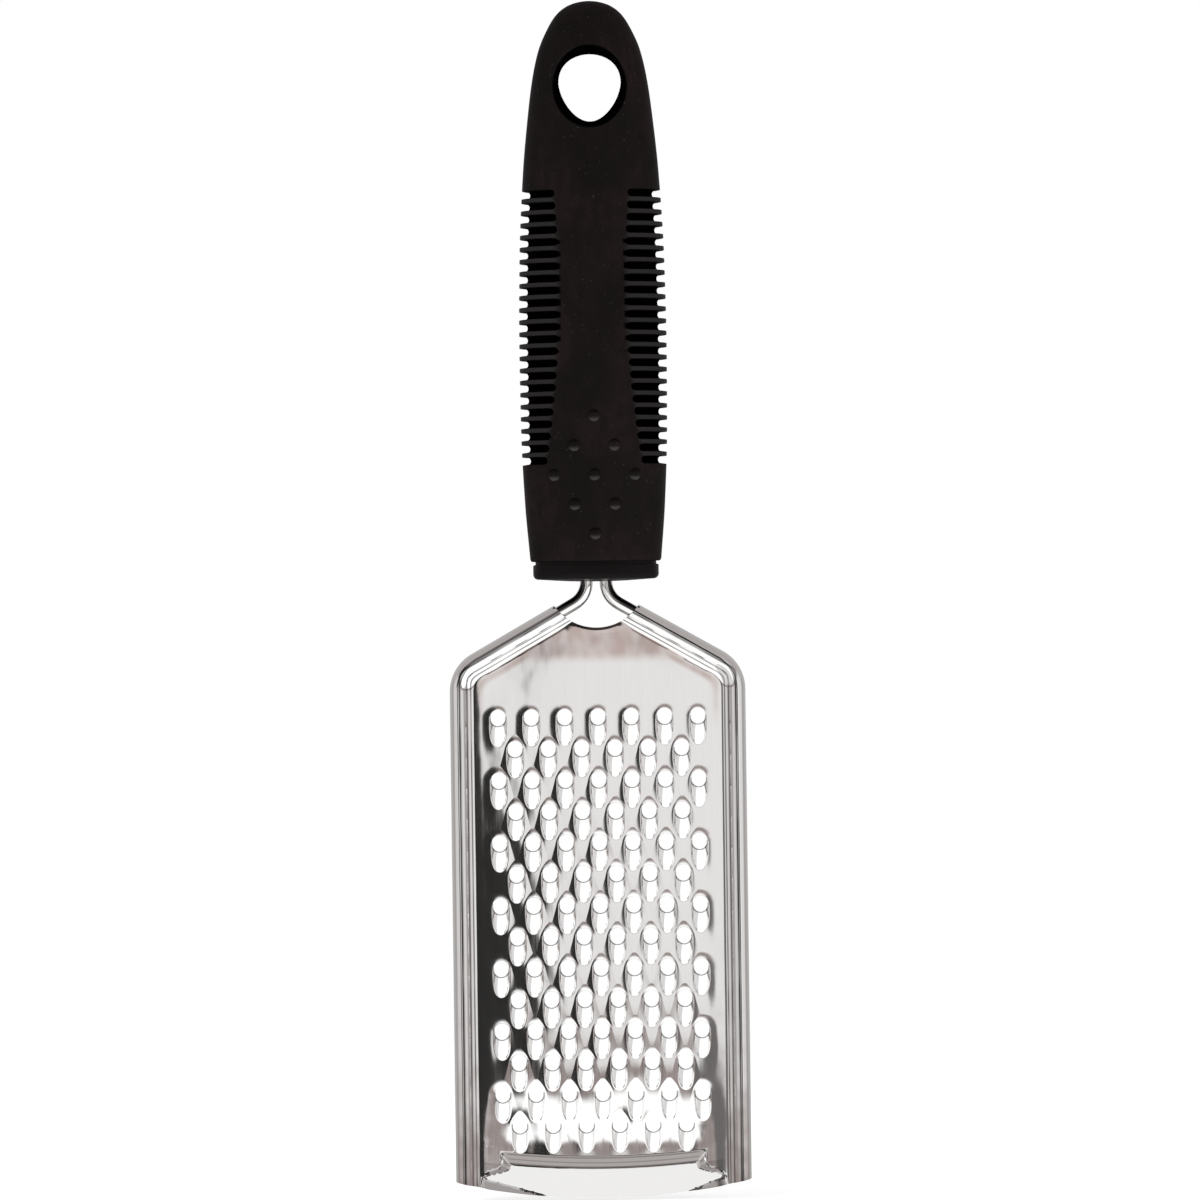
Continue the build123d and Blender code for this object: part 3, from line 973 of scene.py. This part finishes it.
def oval_ring(skin, turns, half_width, half_depth, z, power):
    """A ring of vertices round a squared ellipse."""
    ring = []
    for turn in turns:
        cos, sin = math.cos(turn), math.sin(turn)
        ring.append(skin.verts.new((math.copysign(abs(cos) ** (2 / power), cos) * half_width,
                                    math.copysign(abs(sin) ** (2 / power), sin) * half_depth, z)))
    return ring


def front_of_handle(x, z):
    """How far the handle's surface stands before its middle plane."""
    half_width, half_depth = handle_half(z)
    return half_depth * (1 - min(1.0, abs(x) / half_width) ** oval_power) ** (1 / oval_power)


print("handle at its widest:", round(2 * max(row[1] for row in handle_table), 1), "mm")


# %% Handle rows
def skin_mesh(name, skin):
    """The plain mesh of a skin, facing outwards."""
    bmesh.ops.recalc_face_normals(skin, faces=skin.faces)
    mesh = bpy.data.meshes.new(name)
    skin.to_mesh(mesh)
    skin.free()
    return mesh


groove_count = 23
groove_pitch = 2.83 * mm
first_groove = -25.0 * mm
groove_space = 1.5 * mm
groove_rows = [0.0, 0.3, 0.55, 0.7, 0.78, 0.86, 0.92, 0.98, 1.08, 1.25]
dome_length = 16 * mm
end_round = 0.6 * mm

quarter = ([3.5 * step for step in range(14)] + [48.0 + 0.9 * step for step in range(18)]
           + [67.0, 71.0, 75.5, 80.0, 85.0])
handle_turns = sorted({round(turn % (2 * math.pi), 9) for angle in map(math.radians, quarter)
                       for turn in (angle, math.pi - angle, math.pi + angle, 2 * math.pi - angle)}
                      | {math.pi / 2, 3 * math.pi / 2})
groove_top = first_groove + groove_space
groove_low = first_groove - (groove_count - 1) * groove_pitch - groove_space
levels = [handle_tip - (step / 30) ** 2 * dome_length for step in range(1, 31)]
levels += list(np.linspace(levels[-1], groove_top, 33)[1:])
for groove in range(groove_count):
    middle_z = first_groove - groove * groove_pitch
    levels += [middle_z + offset * mm for offset in groove_rows[:0:-1]]
    levels += [middle_z - offset * mm for offset in groove_rows]
levels += list(np.linspace(groove_low, handle_end + end_round, 23))

handle = bmesh.new()
rings = [[handle.verts.new((0, 0, handle_tip))]]
rings += [oval_ring(handle, handle_turns, *handle_half(z), z, oval_power) for z in levels]
end_width, end_depth = handle_half(handle_end)
for turn in np.linspace(0, math.pi / 2, 6)[1:]:
    inset = end_round * (1 - math.cos(turn))
    rings.append(oval_ring(handle, handle_turns, end_width - inset, end_depth - inset,
                           handle_end + end_round * (1 - math.sin(turn)), oval_power))
join_rings(handle, rings)
handle.faces.new(rings[-1])
uncut_handle = in_scene("uncut_handle", skin_mesh("soft_handle", handle))
print("handle:", len(rings), "rows of", len(handle_turns))

# %% [markdown]
# ## The hanging hole
# The hole is an egg, an ellipse that is a little wider above than below. A Bevel on the edge of a plain
# cut would be uneven, because the handle's surface curves away. So the cutter itself widens like a trumpet
# where it meets the surface, and that leaves the soft rim.

# %% Cut the hanging hole
egg_half = 7.15 * mm
egg_rise = 8.25 * mm
egg_taper = 0.2
rim_radius = 1.9 * mm
rim_turn = math.radians(78)
past_surface = 1.5 * mm
egg_turns = [step / 96 * 2 * math.pi for step in range(96)]


def egg_point(turn, extra):
    """A point of the egg's outline, moved outwards by extra."""
    def outline_at(at):
        return Vector((egg_half * math.cos(at) * (1 + egg_taper * math.sin(at)), egg_rise * math.sin(at)))
    along = (outline_at(turn + 1e-4) - outline_at(turn - 1e-4)).normalized()
    point = outline_at(turn) + extra * Vector((along.y, -along.x))
    return point.x, point.y


def trumpet(side):
    """Rings of the cutter, from the middle out through the handle's front (-1) or back (1)."""
    starts = [front_of_handle(*egg_point(turn, rim_radius)) - rim_radius for turn in egg_turns]
    rings = []
    for bend in np.linspace(0, rim_turn, 9):
        plan_ring = [egg_point(turn, rim_radius * (1 - math.cos(bend))) for turn in egg_turns]
        rings.append([(x, side * (start + rim_radius * math.sin(bend)), z)
                      for (x, z), start in zip(plan_ring, starts)])
    return rings + [[(x * 1.12, y + side * past_surface, z * 1.1) for x, y, z in rings[-1]]]


cutter = bmesh.new()
rings = [[cutter.verts.new(point) for point in ring] for ring in trumpet(-1)[::-1] + trumpet(1)]
join_rings(cutter, rings)
cutter.faces.new(rings[0])
cutter.faces.new(rings[-1])
hole_cutter = in_scene("hole_cutter", skin_mesh("hole_cutter", cutter))
cut = uncut_handle.modifiers.new("hanging hole", "BOOLEAN")
cut.operation = "DIFFERENCE"
cut.solver = "EXACT"
cut.object = hole_cutter
apply_modifiers(uncut_handle)
handle_mesh = uncut_handle.data
bpy.data.objects.remove(hole_cutter)
bpy.data.objects.remove(uncut_handle)
print("handle faces:", len(handle_mesh.polygons))

# %% [markdown]
# ## Finger grooves
# Twenty-three grooves a side run round the edge of the handle and stop at a waisted palm strip. As many
# boolean cuts would be slow and ragged, so the dense rows are pushed in instead. The tree below finds the
# nearest groove for every point, measures the distance to its middle line, and pushes the point inwards
# along its normal when it lies inside. It also marks the grooves and the ribs between them, so the
# rubber's colour can carry painted shade in the grooves and painted light on the ribs.

# %% Finger grooves by Geometry Nodes
palm_half = 7.85 * mm
palm_waist = -46.0 * mm
palm_arc = 267.0 * mm
groove_half = 0.86 * mm
groove_soft = 0.11 * mm
groove_depth = 2.0 * mm
flat_floor_share = 0.62
rib_fade = 1.0 * mm
rib_end_fade = 1.2 * mm

values = {"Count": groove_count, "Pitch": groove_pitch, "First": first_groove, "Half Width": groove_half,
          "Softness": groove_soft, "Depth": groove_depth, "Flat Share": flat_floor_share,
          "Palm Half": palm_half, "Palm Waist": palm_waist, "Palm Arc": palm_arc,
          "Rib Fade": rib_fade, "Rib End Fade": rib_end_fade}
tree, given, end = shape_tree("finger_grooves", values)
first, pitch, half, arc = (given[name] for name in ("First", "Pitch", "Half Width", "Palm Arc"))
flat, fade, end_fade = (given[name] for name in ("Flat Share", "Rib Fade", "Rib End Fade"))
x, _, z = axes(add(tree, "GeometryNodeInputPosition"))
nearest = calc("MAXIMUM", calc("ROUND", (first - z) / pitch), 0.0)
groove_z = first - calc("MINIMUM", nearest, given["Count"] - 1.0) * pitch
along = groove_z - given["Palm Waist"]
sag = arc - calc("SQRT", arc * arc - along * along)
start = given["Palm Half"] + sag + half
short = calc("MAXIMUM", start - abs(x), 0.0)
off = z - groove_z
reach = calc("SQRT", off * off + short * short)
share = ramp(reach, half - given["Softness"], half + given["Softness"], 1.0, 0.0)
level = calc("MINIMUM", reach / half, 1.0)
round_floor = flat + calc("SQRT", 1.0 - level * level) * (1.0 - flat)
sink = share * round_floor * given["Depth"]
normal = add(tree, "GeometryNodeInputNormal")
push = add(tree, "ShaderNodeVectorMath", {0: normal, "Scale": sink * -1.0}, operation="SCALE")
lowest = first - (given["Count"] - 1.0) * pitch
rib = ramp(z, first, first + fade, 1.0, 0.0) * ramp(z, lowest - fade, lowest)
rib = rib * ramp(abs(x), start - end_fade, start) * (1.0 - share)
marked = given["Geometry"]
for name, value in (("in_groove", share), ("on_rib", rib)):
    marked = add(tree, "GeometryNodeStoreNamedAttribute", {"Geometry": marked, "Name": name, "Value": value},
                 data_type="FLOAT", domain="POINT")
plug(add(tree, "GeometryNodeSetPosition", {"Geometry": marked, "Offset": push}), end)

handle_mesh = run_tree("grooved", tree, values, handle_mesh)
print("grooved handle:", len(handle_mesh.vertices), "points")

# %% [markdown]
# ## Thumb dots
# Nine domed dots stand in a diamond. Set by hand they would float or sink, so Geometry Nodes lays them as
# a square grid turned on its corner and moves each along Y onto the handle. Each dot remembers its upper
# and lower side, for a painted highlight below and painted shade above.

# %% One thumb dot
dot_radius = 1.4 * mm
dot_height = 0.62 * mm
dot_sink = 0.35 * mm
dot_columns = 24


def dot_ring(skin, radius, y):
    """A ring of a dot's vertices."""
    turns = [step / dot_columns * 2 * math.pi for step in range(dot_columns)]
    return [skin.verts.new((radius * math.cos(turn), y, radius * math.sin(turn))) for turn in turns]


dot = bmesh.new()
rings = [dot_ring(dot, 1.12 * dot_radius, dot_sink)]
for turn in np.linspace(0, math.pi / 2, 9)[:-1]:
    rings.append(dot_ring(dot, dot_radius * math.cos(turn) ** 0.8, -dot_height * math.sin(turn)))
rings.append([dot.verts.new((0, -dot_height, 0))])
join_rings(dot, rings)
dot.faces.new(rings[0])
dot_mesh = skin_mesh("thumb_dot", dot)
# The side of each dome, for the painted highlight below and painted shade above.
dot_side = dot_mesh.attributes.new("dot_side", "FLOAT", "POINT")
for vertex in dot_mesh.vertices:
    on_dome = vertex.co.y < 0.1 * mm
    dot_side.data[vertex.index].value = -vertex.co.z / dot_radius if on_dome else 0.0
print("dot faces:", len(dot_mesh.polygons))

# %% Thumb dots by Geometry Nodes
dots_per_side = 3
dot_pitch = 9.3 * mm
dot_row_pitch = 6.85 * mm
dot_middle = -90.6 * mm
before_handle = -50 * mm
grip_rubber = new_material("soft_grip")

dot_pattern = in_scene("thumb_dot", dot_mesh)
values = {"Dot": dot_pattern, "Per Side": dots_per_side, "Pitch": dot_pitch, "Row Pitch": dot_row_pitch,
          "Middle": dot_middle, "Ray Start": before_handle, "Material": grip_rubber}
tree, given, end = shape_tree("thumb_dots", values)
per_side = given["Per Side"]
number = add(tree, "GeometryNodeInputIndex")
first_index = calc("FLOOR", number / per_side)
second_index = number - first_index * per_side
across = (first_index - second_index) * (given["Pitch"] / 2.0)
down = given["Middle"] - (first_index + second_index - (per_side - 1.0)) * given["Row Pitch"]
spot = add(tree, "ShaderNodeCombineXYZ", {"X": across, "Y": given["Ray Start"], "Z": down})
rays = {"Target Geometry": given["Geometry"], "Source Position": spot, "Ray Direction": (0, 1, 0)}
surface = add(tree, "GeometryNodeRaycast", rays, "Hit Position")
line = add(tree, "GeometryNodeMeshLine", {"Count": per_side * per_side}, "Mesh")
dots = spread(add(tree, "GeometryNodeSetPosition", {"Geometry": line, "Position": surface}), given["Dot"])
both = tree.nodes.new("GeometryNodeJoinGeometry")
for shape in (dots, given["Geometry"]):
    plug(shape, both.inputs[0])
both = Value(tree, both.outputs[0])
plug(add(tree, "GeometryNodeSetMaterial", {"Geometry": both, "Material": given["Material"]}), end)

handle_mesh = run_tree("dotted", tree, values, handle_mesh)
bpy.data.objects.remove(dot_pattern)
soft_handle = finished("soft_handle", handle_mesh, grip_rubber, sharp=50)
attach(soft_handle, "root")
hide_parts("grip_sleeve")
print("handle triangles:", sum(len(p.vertices) - 2 for p in soft_handle.data.polygons))

# %% [markdown]
# ## The end collar
# A hard black collar closes the handle. Its upper part is a step that goes up into the soft sleeve. A
# bevelled cylinder would have a flat end, so rings are used, which give the lower face its slight dome.

# %% Collar
collar_low, collar_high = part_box("end_collar")
collar_half = (collar_high[0] - collar_low[0]) / 2
collar_half_depth = (collar_high[1] - collar_low[1]) / 2
collar_power = 2.5
collar_top = handle_end - 0.7 * mm
collar_height = 4.0 * mm
collar_round = 1.2 * mm
collar_crown = 0.55 * mm
collar_step = 0.55 * mm
crown_stretch = 1.6
crown_start = 2 * mm
collar_turns = [step / 96 * 2 * math.pi for step in range(96)]

collar_rows = [  # (inset, down from the collar's top)
    (collar_step, -0.68 * mm), (collar_step, 0.0), (0.12 * mm, 0.06 * mm), (0.0, 0.3 * mm),
    (0.0, collar_height - collar_crown - collar_round)]
for turn in np.linspace(0, math.pi / 2, 8)[1:]:
    down = collar_height - collar_crown - collar_round * (1 - math.sin(turn))
    collar_rows.append((collar_round * (1 - math.cos(turn)), down))
for share in (0.85, 0.7, 0.5, 0.3, 0.12):
    inset = collar_round + (1 - share) * (collar_half_depth - collar_round)
    collar_rows.append((inset, collar_height - collar_crown + collar_crown * (1 - share ** 2)))
collar = bmesh.new()
rings = []
for inset, down in collar_rows:
    half_width = collar_half - inset * (1.0 if inset < crown_start else crown_stretch)
    rings.append(oval_ring(collar, collar_turns, half_width, collar_half_depth - inset,
                           collar_top - down, collar_power))
join_rings(collar, rings)
collar.faces.new(rings[0])
collar.faces.new(rings[-1])
collar_plastic = new_material("collar_plastic")
closing_collar = finished("closing_collar", skin_mesh("closing_collar", collar), collar_plastic, sharp=45)
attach(closing_collar, "root")
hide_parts("end_collar")
print("collar:", len(rings), "rows")

# %% [markdown]
# ## Shared effects
# Each finish is a Principled shader fed by small shared groups. A group measures something over the
# surface, such as brushed grain or specks of dust, and hands back a number between 0 and 1. Pictures of
# grain could serve too, but noise has no seams. All groups read Object coordinates, so they stay on the
# piece.


# %% Grain, waves, dust and skin
def effect(name, defaults):
    """A shader node group with number inputs and one number output."""
    made = new_group(name, "ShaderNodeTree", {label: "Float" for label in defaults}, "Amount", "Float")
    for item in made[0].interface.items_tree:
        if item.in_out == "INPUT":
            item.default_value = defaults[item.name]
    return made


def noise(place, scale, detail, rough):
    """Cloudy noise between 0 and 1."""
    return add(place.tree, "ShaderNodeTexNoise", {
        "Vector": place, "Scale": scale, "Detail": detail, "Roughness": rough}, "Fac")


grain, given, end = effect("brushed_grain", {"Fineness": 1.0, "Contrast": 1.0})
fine = noise(object_place(grain, 5000, 5000, 90), given["Fineness"], 3.0, 0.6)
wide = noise(object_place(grain, 900, 900, 25), given["Fineness"], 2.0, 0.5)
plug(calc("ADD", (fine * 0.65 + wide * 0.35 - 0.5) * given["Contrast"], 0.5, clamp=True), end)

wave, given, end = effect("slow_waves", {"Scale": 60.0})
plug(noise(object_place(wave, 1, 1, 0.6), given["Scale"], 1.0, 0.4), end)

dust, given, end = effect("dust", {"Scale": 2600.0, "Share": 0.76})
speck = noise(object_place(dust), given["Scale"], 1.0, 0.5)
plug(ramp(speck, given["Share"], given["Share"] + 0.05), end)

moulded, given, end = effect("moulded_skin", {"Scale": 1800.0})
plug(noise(object_place(moulded), given["Scale"], 3.0, 0.6), end)
print("surface groups:", grain.name, wave.name, dust.name, moulded.name)

# %% [markdown]
# ## Effects that follow the shape
# Pressing a tooth draws the sheet down round it, and the shaded edge of its mouth is painted as a thin dark
# line of painted shade. Both are repeated at every tooth, so a group works out which tooth is nearest from
# the rows' pitch. Two more groups measure the distance in from the hem's outer edge, for the painted dark
# lines along the hems, and out from a wire's middle line, for the dark reflection painted on the wires.

# %% Halo and mouth line
rows = {"First Row": first_row, "Row Pitch": tooth_row_pitch, "Pitch": tooth_pitch,
        "Last Row": tooth_rows - 1.0}
halo_power = 3.2
not_a_tooth = 10.0


def tooth_offset(given, row_step):
    """Distances across and down from the nearest tooth of a row, and more than 0 where there is none."""
    pitch, row_pitch = given["Pitch"], given["Row Pitch"]
    x, _, z = axes(object_place(pitch.tree))
    row = calc("FLOOR", (given["First Row"] - z) / row_pitch) + row_step
    shift = calc("PINGPONG", row, 1.0) * (pitch * 0.5)
    centre = calc("ROUND", (x - shift) / pitch) * pitch + shift
    past_rows = calc("LESS_THAN", row, -0.5) + calc("GREATER_THAN", row, given["Last Row"] + 0.5)
    outside = past_rows + calc("GREATER_THAN", abs(centre), 3.1 * tooth_pitch)
    return abs(x - centre), abs(z - (given["First Row"] - row * row_pitch)), outside


halo, given, end = effect("tooth_halo", {**rows, "Edge": 0.93, "Reach": 1.78})
nearest = None
row_reaches = [(-1.0, tooth_reach, halo_power), (0.0, tooth_reach, halo_power), (1.0, hole_rise, 2.0)]
for row_step, reach, power in row_reaches:
    across, down, outside = tooth_offset(given, row_step)
    width = calc("POWER", across / (tooth_radius + tooth_edge), power)
    far = calc("POWER", width + calc("POWER", down / (reach + tooth_edge), power), 1.0 / power)
    far = far + outside * not_a_tooth
    nearest = far if nearest is None else calc("MINIMUM", nearest, far)
left_over = ramp(nearest, given["Edge"], given["Reach"], 1.0, 0.0, "LINEAR")
plug(1.0 - left_over * left_over, end)

mouth, given, end = effect("mouth_shade_line", {**rows, "Radius": mouth_drop + 0.14 * mm, "Width": 0.14 * mm})
across, down, outside = tooth_offset(given, 0.0)
off = abs(calc("SQRT", across * across + down * down) - given["Radius"])
near = ramp(off, given["Width"] * 0.5, given["Width"], 1.0, 0.0) * calc("LESS_THAN", across, tooth_radius)
plug(near * calc("SUBTRACT", 1.0, outside, clamp=True), end)
print("tooth groups:", halo.name, mouth.name)


# %% Hem edge and wire flank
def above_slope(x, z, slope_z):
    """How far a point lies above the sloping line that meets the middle line at a height."""
    return (z - (slope_z - x * math.tan(shoulder))) * math.cos(shoulder)


def line_at(value, middle, width):
    """1 where a value is at the middle of a line, falling to 0 at a width to both sides."""
    return ramp(abs(value - middle), 0.0, width, 1.0, 0.0)


hem_edge, given, end = effect("from_hem_edge", {"Bend": 2.2 * mm})
x, _, z = axes(object_place(hem_edge))
from_top = above_slope(abs(x), z, gable_z + hem_radius / math.cos(shoulder)) * -1.0
plug(calc("SMOOTH_MIN", plate_half - abs(x), from_top, given["Bend"]), end)

# A band along each wire, where a dark reflection is painted into its colour.
painted_wire_reflection, given, end = effect("painted_wire_reflection", {"Outward": 0.7 * mm, "Width": 0.4 * mm})
x, _, z = axes(object_place(painted_wire_reflection))
outward = calc("SMOOTH_MIN", abs(x) - tang_x, above_slope(abs(x), z, gable_z), 4.0 * mm)
off = abs(outward - given["Outward"])
plug(ramp(off, given["Width"] * 0.7, given["Width"], 1.0, 0.0), end)
print("edge groups:", hem_edge.name, painted_wire_reflection.name)

# %% [markdown]
# ## Steel
# The sheet is bright rolled steel: almost a mirror, with a faint upright grain, and a little uneven, so
# straight edges of the room wander in it. The lip is duller. Thin dark lines of painted shade and painted
# reflection run along the hems and the ridge, with painted shade at each tooth's mouth, and the sheet is
# brownish under the neck. The wires are the same steel, drawn and polished, with a dark reflection painted
# on their flanks.


# %% Using the effects
def use(tree, group, **values):
    """Put a group into a material with its own values; returns its amount."""
    return add(tree, "ShaderNodeGroup", values, "Amount", node_tree=group)


def bump(height, depth, below_it=None):
    """A normal bumped by a height between 0 and 1, with its depth in metres."""
    inputs = {"Strength": 1.0, "Distance": depth, "Height": height}
    if below_it is not None:
        inputs["Normal"] = below_it
    return add(height.tree, "ShaderNodeBump", inputs, "Normal")


def finish_with(material, inputs):
    """Set or join a Principled shader's inputs by name."""
    shader = material.node_tree.nodes["Principled BSDF"]
    for name, value in inputs.items():
        plug(value, shader.inputs[name])


print("finishing helpers:", use.__name__, bump.__name__, finish_with.__name__)

# %% Stainless sheet
# Lines of painted shade and painted reflection along the hems and the ridge.
painted_hem_lines = [(2.3, 0.5, 1.0), (4.0, 0.28, 0.85), (4.9, 0.28, 0.9)]  # (inward mm, width mm, share)
painted_ridge_lines = [(0.3, 0.28, 0.6), (1.35, 0.25, 0.45), (2.35, 0.3, 0.8)]  # (down mm, width mm, share)

tree = steel.node_tree
x, _, z = axes(object_place(tree))
lines = use(tree, grain)
silver = mix_colour(lines, (0.77, 0.765, 0.76, 1), (0.93, 0.925, 0.92, 1))
down = calc("SQRT", (z - ridge_centre) * (z - ridge_centre) + x * x) - ridge_arc
on_lip = ramp(down, ridge_flank + 0.1 * mm, ridge_flank + 0.5 * mm)
on_lip = on_lip * ramp(abs(x), flat_half - 1.2 * mm, flat_half - 0.4 * mm, 1.0, 0.0)
silver = mix_colour(on_lip, silver, (0.66, 0.655, 0.65, 1))
# Dark lines painted along the ridge as painted shade of its crest and crease.
on_bar = ramp(abs(x), ridge_half, ridge_half + 1.5 * mm, 1.0, 0.0)
for down_mm, width_mm, share in painted_ridge_lines:
    line = ramp(abs(down - down_mm * mm), 0.0, width_mm * mm, share, 0.0)
    silver = mix_colour(line * on_bar, silver, (0.20, 0.155, 0.145, 1))
# A thin dark line of painted shade round each tooth's mouth.
silver = mix_colour(use(tree, mouth) * 0.9, silver, (0.10, 0.095, 0.095, 1))
from_edge = use(tree, hem_edge)
uneven = ramp(use(tree, wave, Scale=130.0), 0.32, 0.55, 0.68, 1.0)
# Dark lines painted along the hems as painted shade and painted reflection, fainter in places.
for inward_mm, width_mm, share in painted_hem_lines:
    line = line_at(from_edge, inward_mm * mm, width_mm * mm) * share
    silver = mix_colour(line * uneven, silver, (0.09, 0.085, 0.085, 1))
at_neck = ramp(z, -135.0 * mm, -131.8 * mm) * ramp(from_edge, 5.2 * mm, 6.0 * mm)
along_hem = line_at(from_edge, 6.9 * mm, 1.4 * mm) * ramp(z, -152 * mm, -136 * mm)
clouds = ramp(use(tree, wave, Scale=300.0), 0.3, 0.7, 0.6, 1.0)
tinted = calc("MAXIMUM", at_neck * 0.85, along_hem * 0.8) * clouds
rolled = bump(use(tree, wave, Scale=70.0), 0.07 * mm)
rippled = bump(use(tree, wave, Scale=210.0), 0.03 * mm, rolled)
dimpled = bump(use(tree, halo), 0.045 * mm, rippled)
finish_with(steel, {
    "Metallic": 1.0, "Base Color": mix_colour(tinted, silver, (0.50, 0.385, 0.355, 1)),
    "Roughness": ramp(lines, 0.2, 0.8, 0.045, 0.085), "Normal": bump(lines, 0.0006 * mm, dimpled)})
print("sheet nodes:", len(tree.nodes))

# %% Bright wire
bright_wire = new_material("bright_wire")
tree = bright_wire.node_tree
lines = use(tree, grain, Fineness=1.4, Contrast=0.8)
silver = mix_colour(lines, (0.78, 0.775, 0.77, 1), (0.90, 0.895, 0.89, 1))
# A dark reflection painted on each wire's outer flank, and a thin dark line of painted reflection inside it.
for outward_mm, width_mm, share in ((0.72, 0.46, 0.97), (-1.0, 0.16, 0.7)):
    flank = use(tree, painted_wire_reflection, Outward=outward_mm * mm, Width=width_mm * mm)
    silver = mix_colour(flank * share, silver, (0.02, 0.019, 0.019, 1))
finish_with(bright_wire, {
    "Metallic": 1.0, "Base Color": silver, "Roughness": ramp(lines, 0.2, 0.8, 0.04, 0.07)})
print("wire nodes:", len(tree.nodes))

# %% [markdown]
# ## Rubber and hard plastic
# The grip is soft black rubber with fine pores, faint patches from handling and a few specks of dust. Its
# colour is paler on the ribs as painted light and nearly black in the grooves and the hanging hole as painted
# shade, and each dot has a painted highlight below and painted shade above. The collar is harder and has a
# little more shine, and the core behind it is plain black plastic. The frame's own wires and core stay as
# they are and only get a material.


# %% Soft rubber
def attribute(tree, name):
    """A number that was stored on the mesh."""
    return add(tree, "ShaderNodeAttribute", out="Fac", attribute_name=name)


tree = grip_rubber.node_tree
pores = use(tree, moulded, Scale=1500.0)
motes = use(tree, dust, Scale=2600.0, Share=0.745)
patches = ramp(use(tree, wave, Scale=90.0), 0.4, 0.65)
spots = ramp(use(tree, wave, Scale=420.0), 0.42, 0.62)
black = mix_colour(pores, (0.0050, 0.0034, 0.0034, 1), (0.0085, 0.0060, 0.0060, 1))
dot_highlight_and_shade = attribute(tree, "dot_side")
# Random patches and spots, painted light on the ribs, dust specks, and on each dot a painted highlight below
# and painted shade above.
for share, colour in (
        (patches * 0.75, (0.0135, 0.0078, 0.0082, 1)), (spots * 0.4, (0.0042, 0.0030, 0.0030, 1)),
        (attribute(tree, "on_rib"), (0.022, 0.020, 0.0198, 1)), (motes, (0.075, 0.07, 0.07, 1)),
        (ramp(dot_highlight_and_shade, 0.1, 0.8, 0.0, 0.85), (0.06, 0.055, 0.055, 1)),
        (ramp(dot_highlight_and_shade, -0.2, -0.8, 0.0, 0.9), (0.0012, 0.001, 0.001, 1))):
    black = mix_colour(share, black, colour)
# Near-black painted shade in the grooves and the hanging hole, which also lose their shine.
away = length(object_place(tree, 1 / (egg_half + rim_radius), 0, 1 / (egg_rise + rim_radius)))
hollow = calc("MAXIMUM", attribute(tree, "in_groove"), ramp(away, 0.93, 0.99, 1.0, 0.0))
finish_with(grip_rubber, {
    "Base Color": mix_colour(hollow, black, (0.0006, 0.0005, 0.0005, 1)),
    "Roughness": ramp(pores, 0.3, 0.7, 0.50, 0.62), "Specular IOR Level": ramp(hollow, 0.0, 1.0, 0.08, 0.0),
    "Normal": bump(pores, 0.012 * mm)})
print("rubber nodes:", len(tree.nodes))

# %% Hard plastic and the frame's own pieces
tree = collar_plastic.node_tree
pores = use(tree, moulded, Scale=2200.0)
black = mix_colour(pores, (0.0055, 0.0045, 0.0045, 1), (0.009, 0.0072, 0.0072, 1))
black = mix_colour(use(tree, dust, Scale=2100.0, Share=0.79), black, (0.05, 0.045, 0.045, 1))
finish_with(collar_plastic, {
    "Base Color": black, "Roughness": ramp(pores, 0.3, 0.7, 0.36, 0.46), "Specular IOR Level": 0.06,
    "Normal": bump(pores, 0.006 * mm)})

core_plastic = new_material("core_plastic")
pores = use(core_plastic.node_tree, moulded, Scale=2000.0)
finish_with(core_plastic, {
    "Base Color": mix_colour(pores, (0.005, 0.004, 0.004, 1), (0.009, 0.007, 0.007, 1)),
    "Roughness": ramp(pores, 0.3, 0.7, 0.5, 0.6)})

frame_pieces = {"left_wire": bright_wire, "right_wire": bright_wire, "handle_core": core_plastic}
for node_name, material in frame_pieces.items():
    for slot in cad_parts[node_name].material_slots:
        slot.material = material
print("plastics:", collar_plastic.name, core_plastic.name)
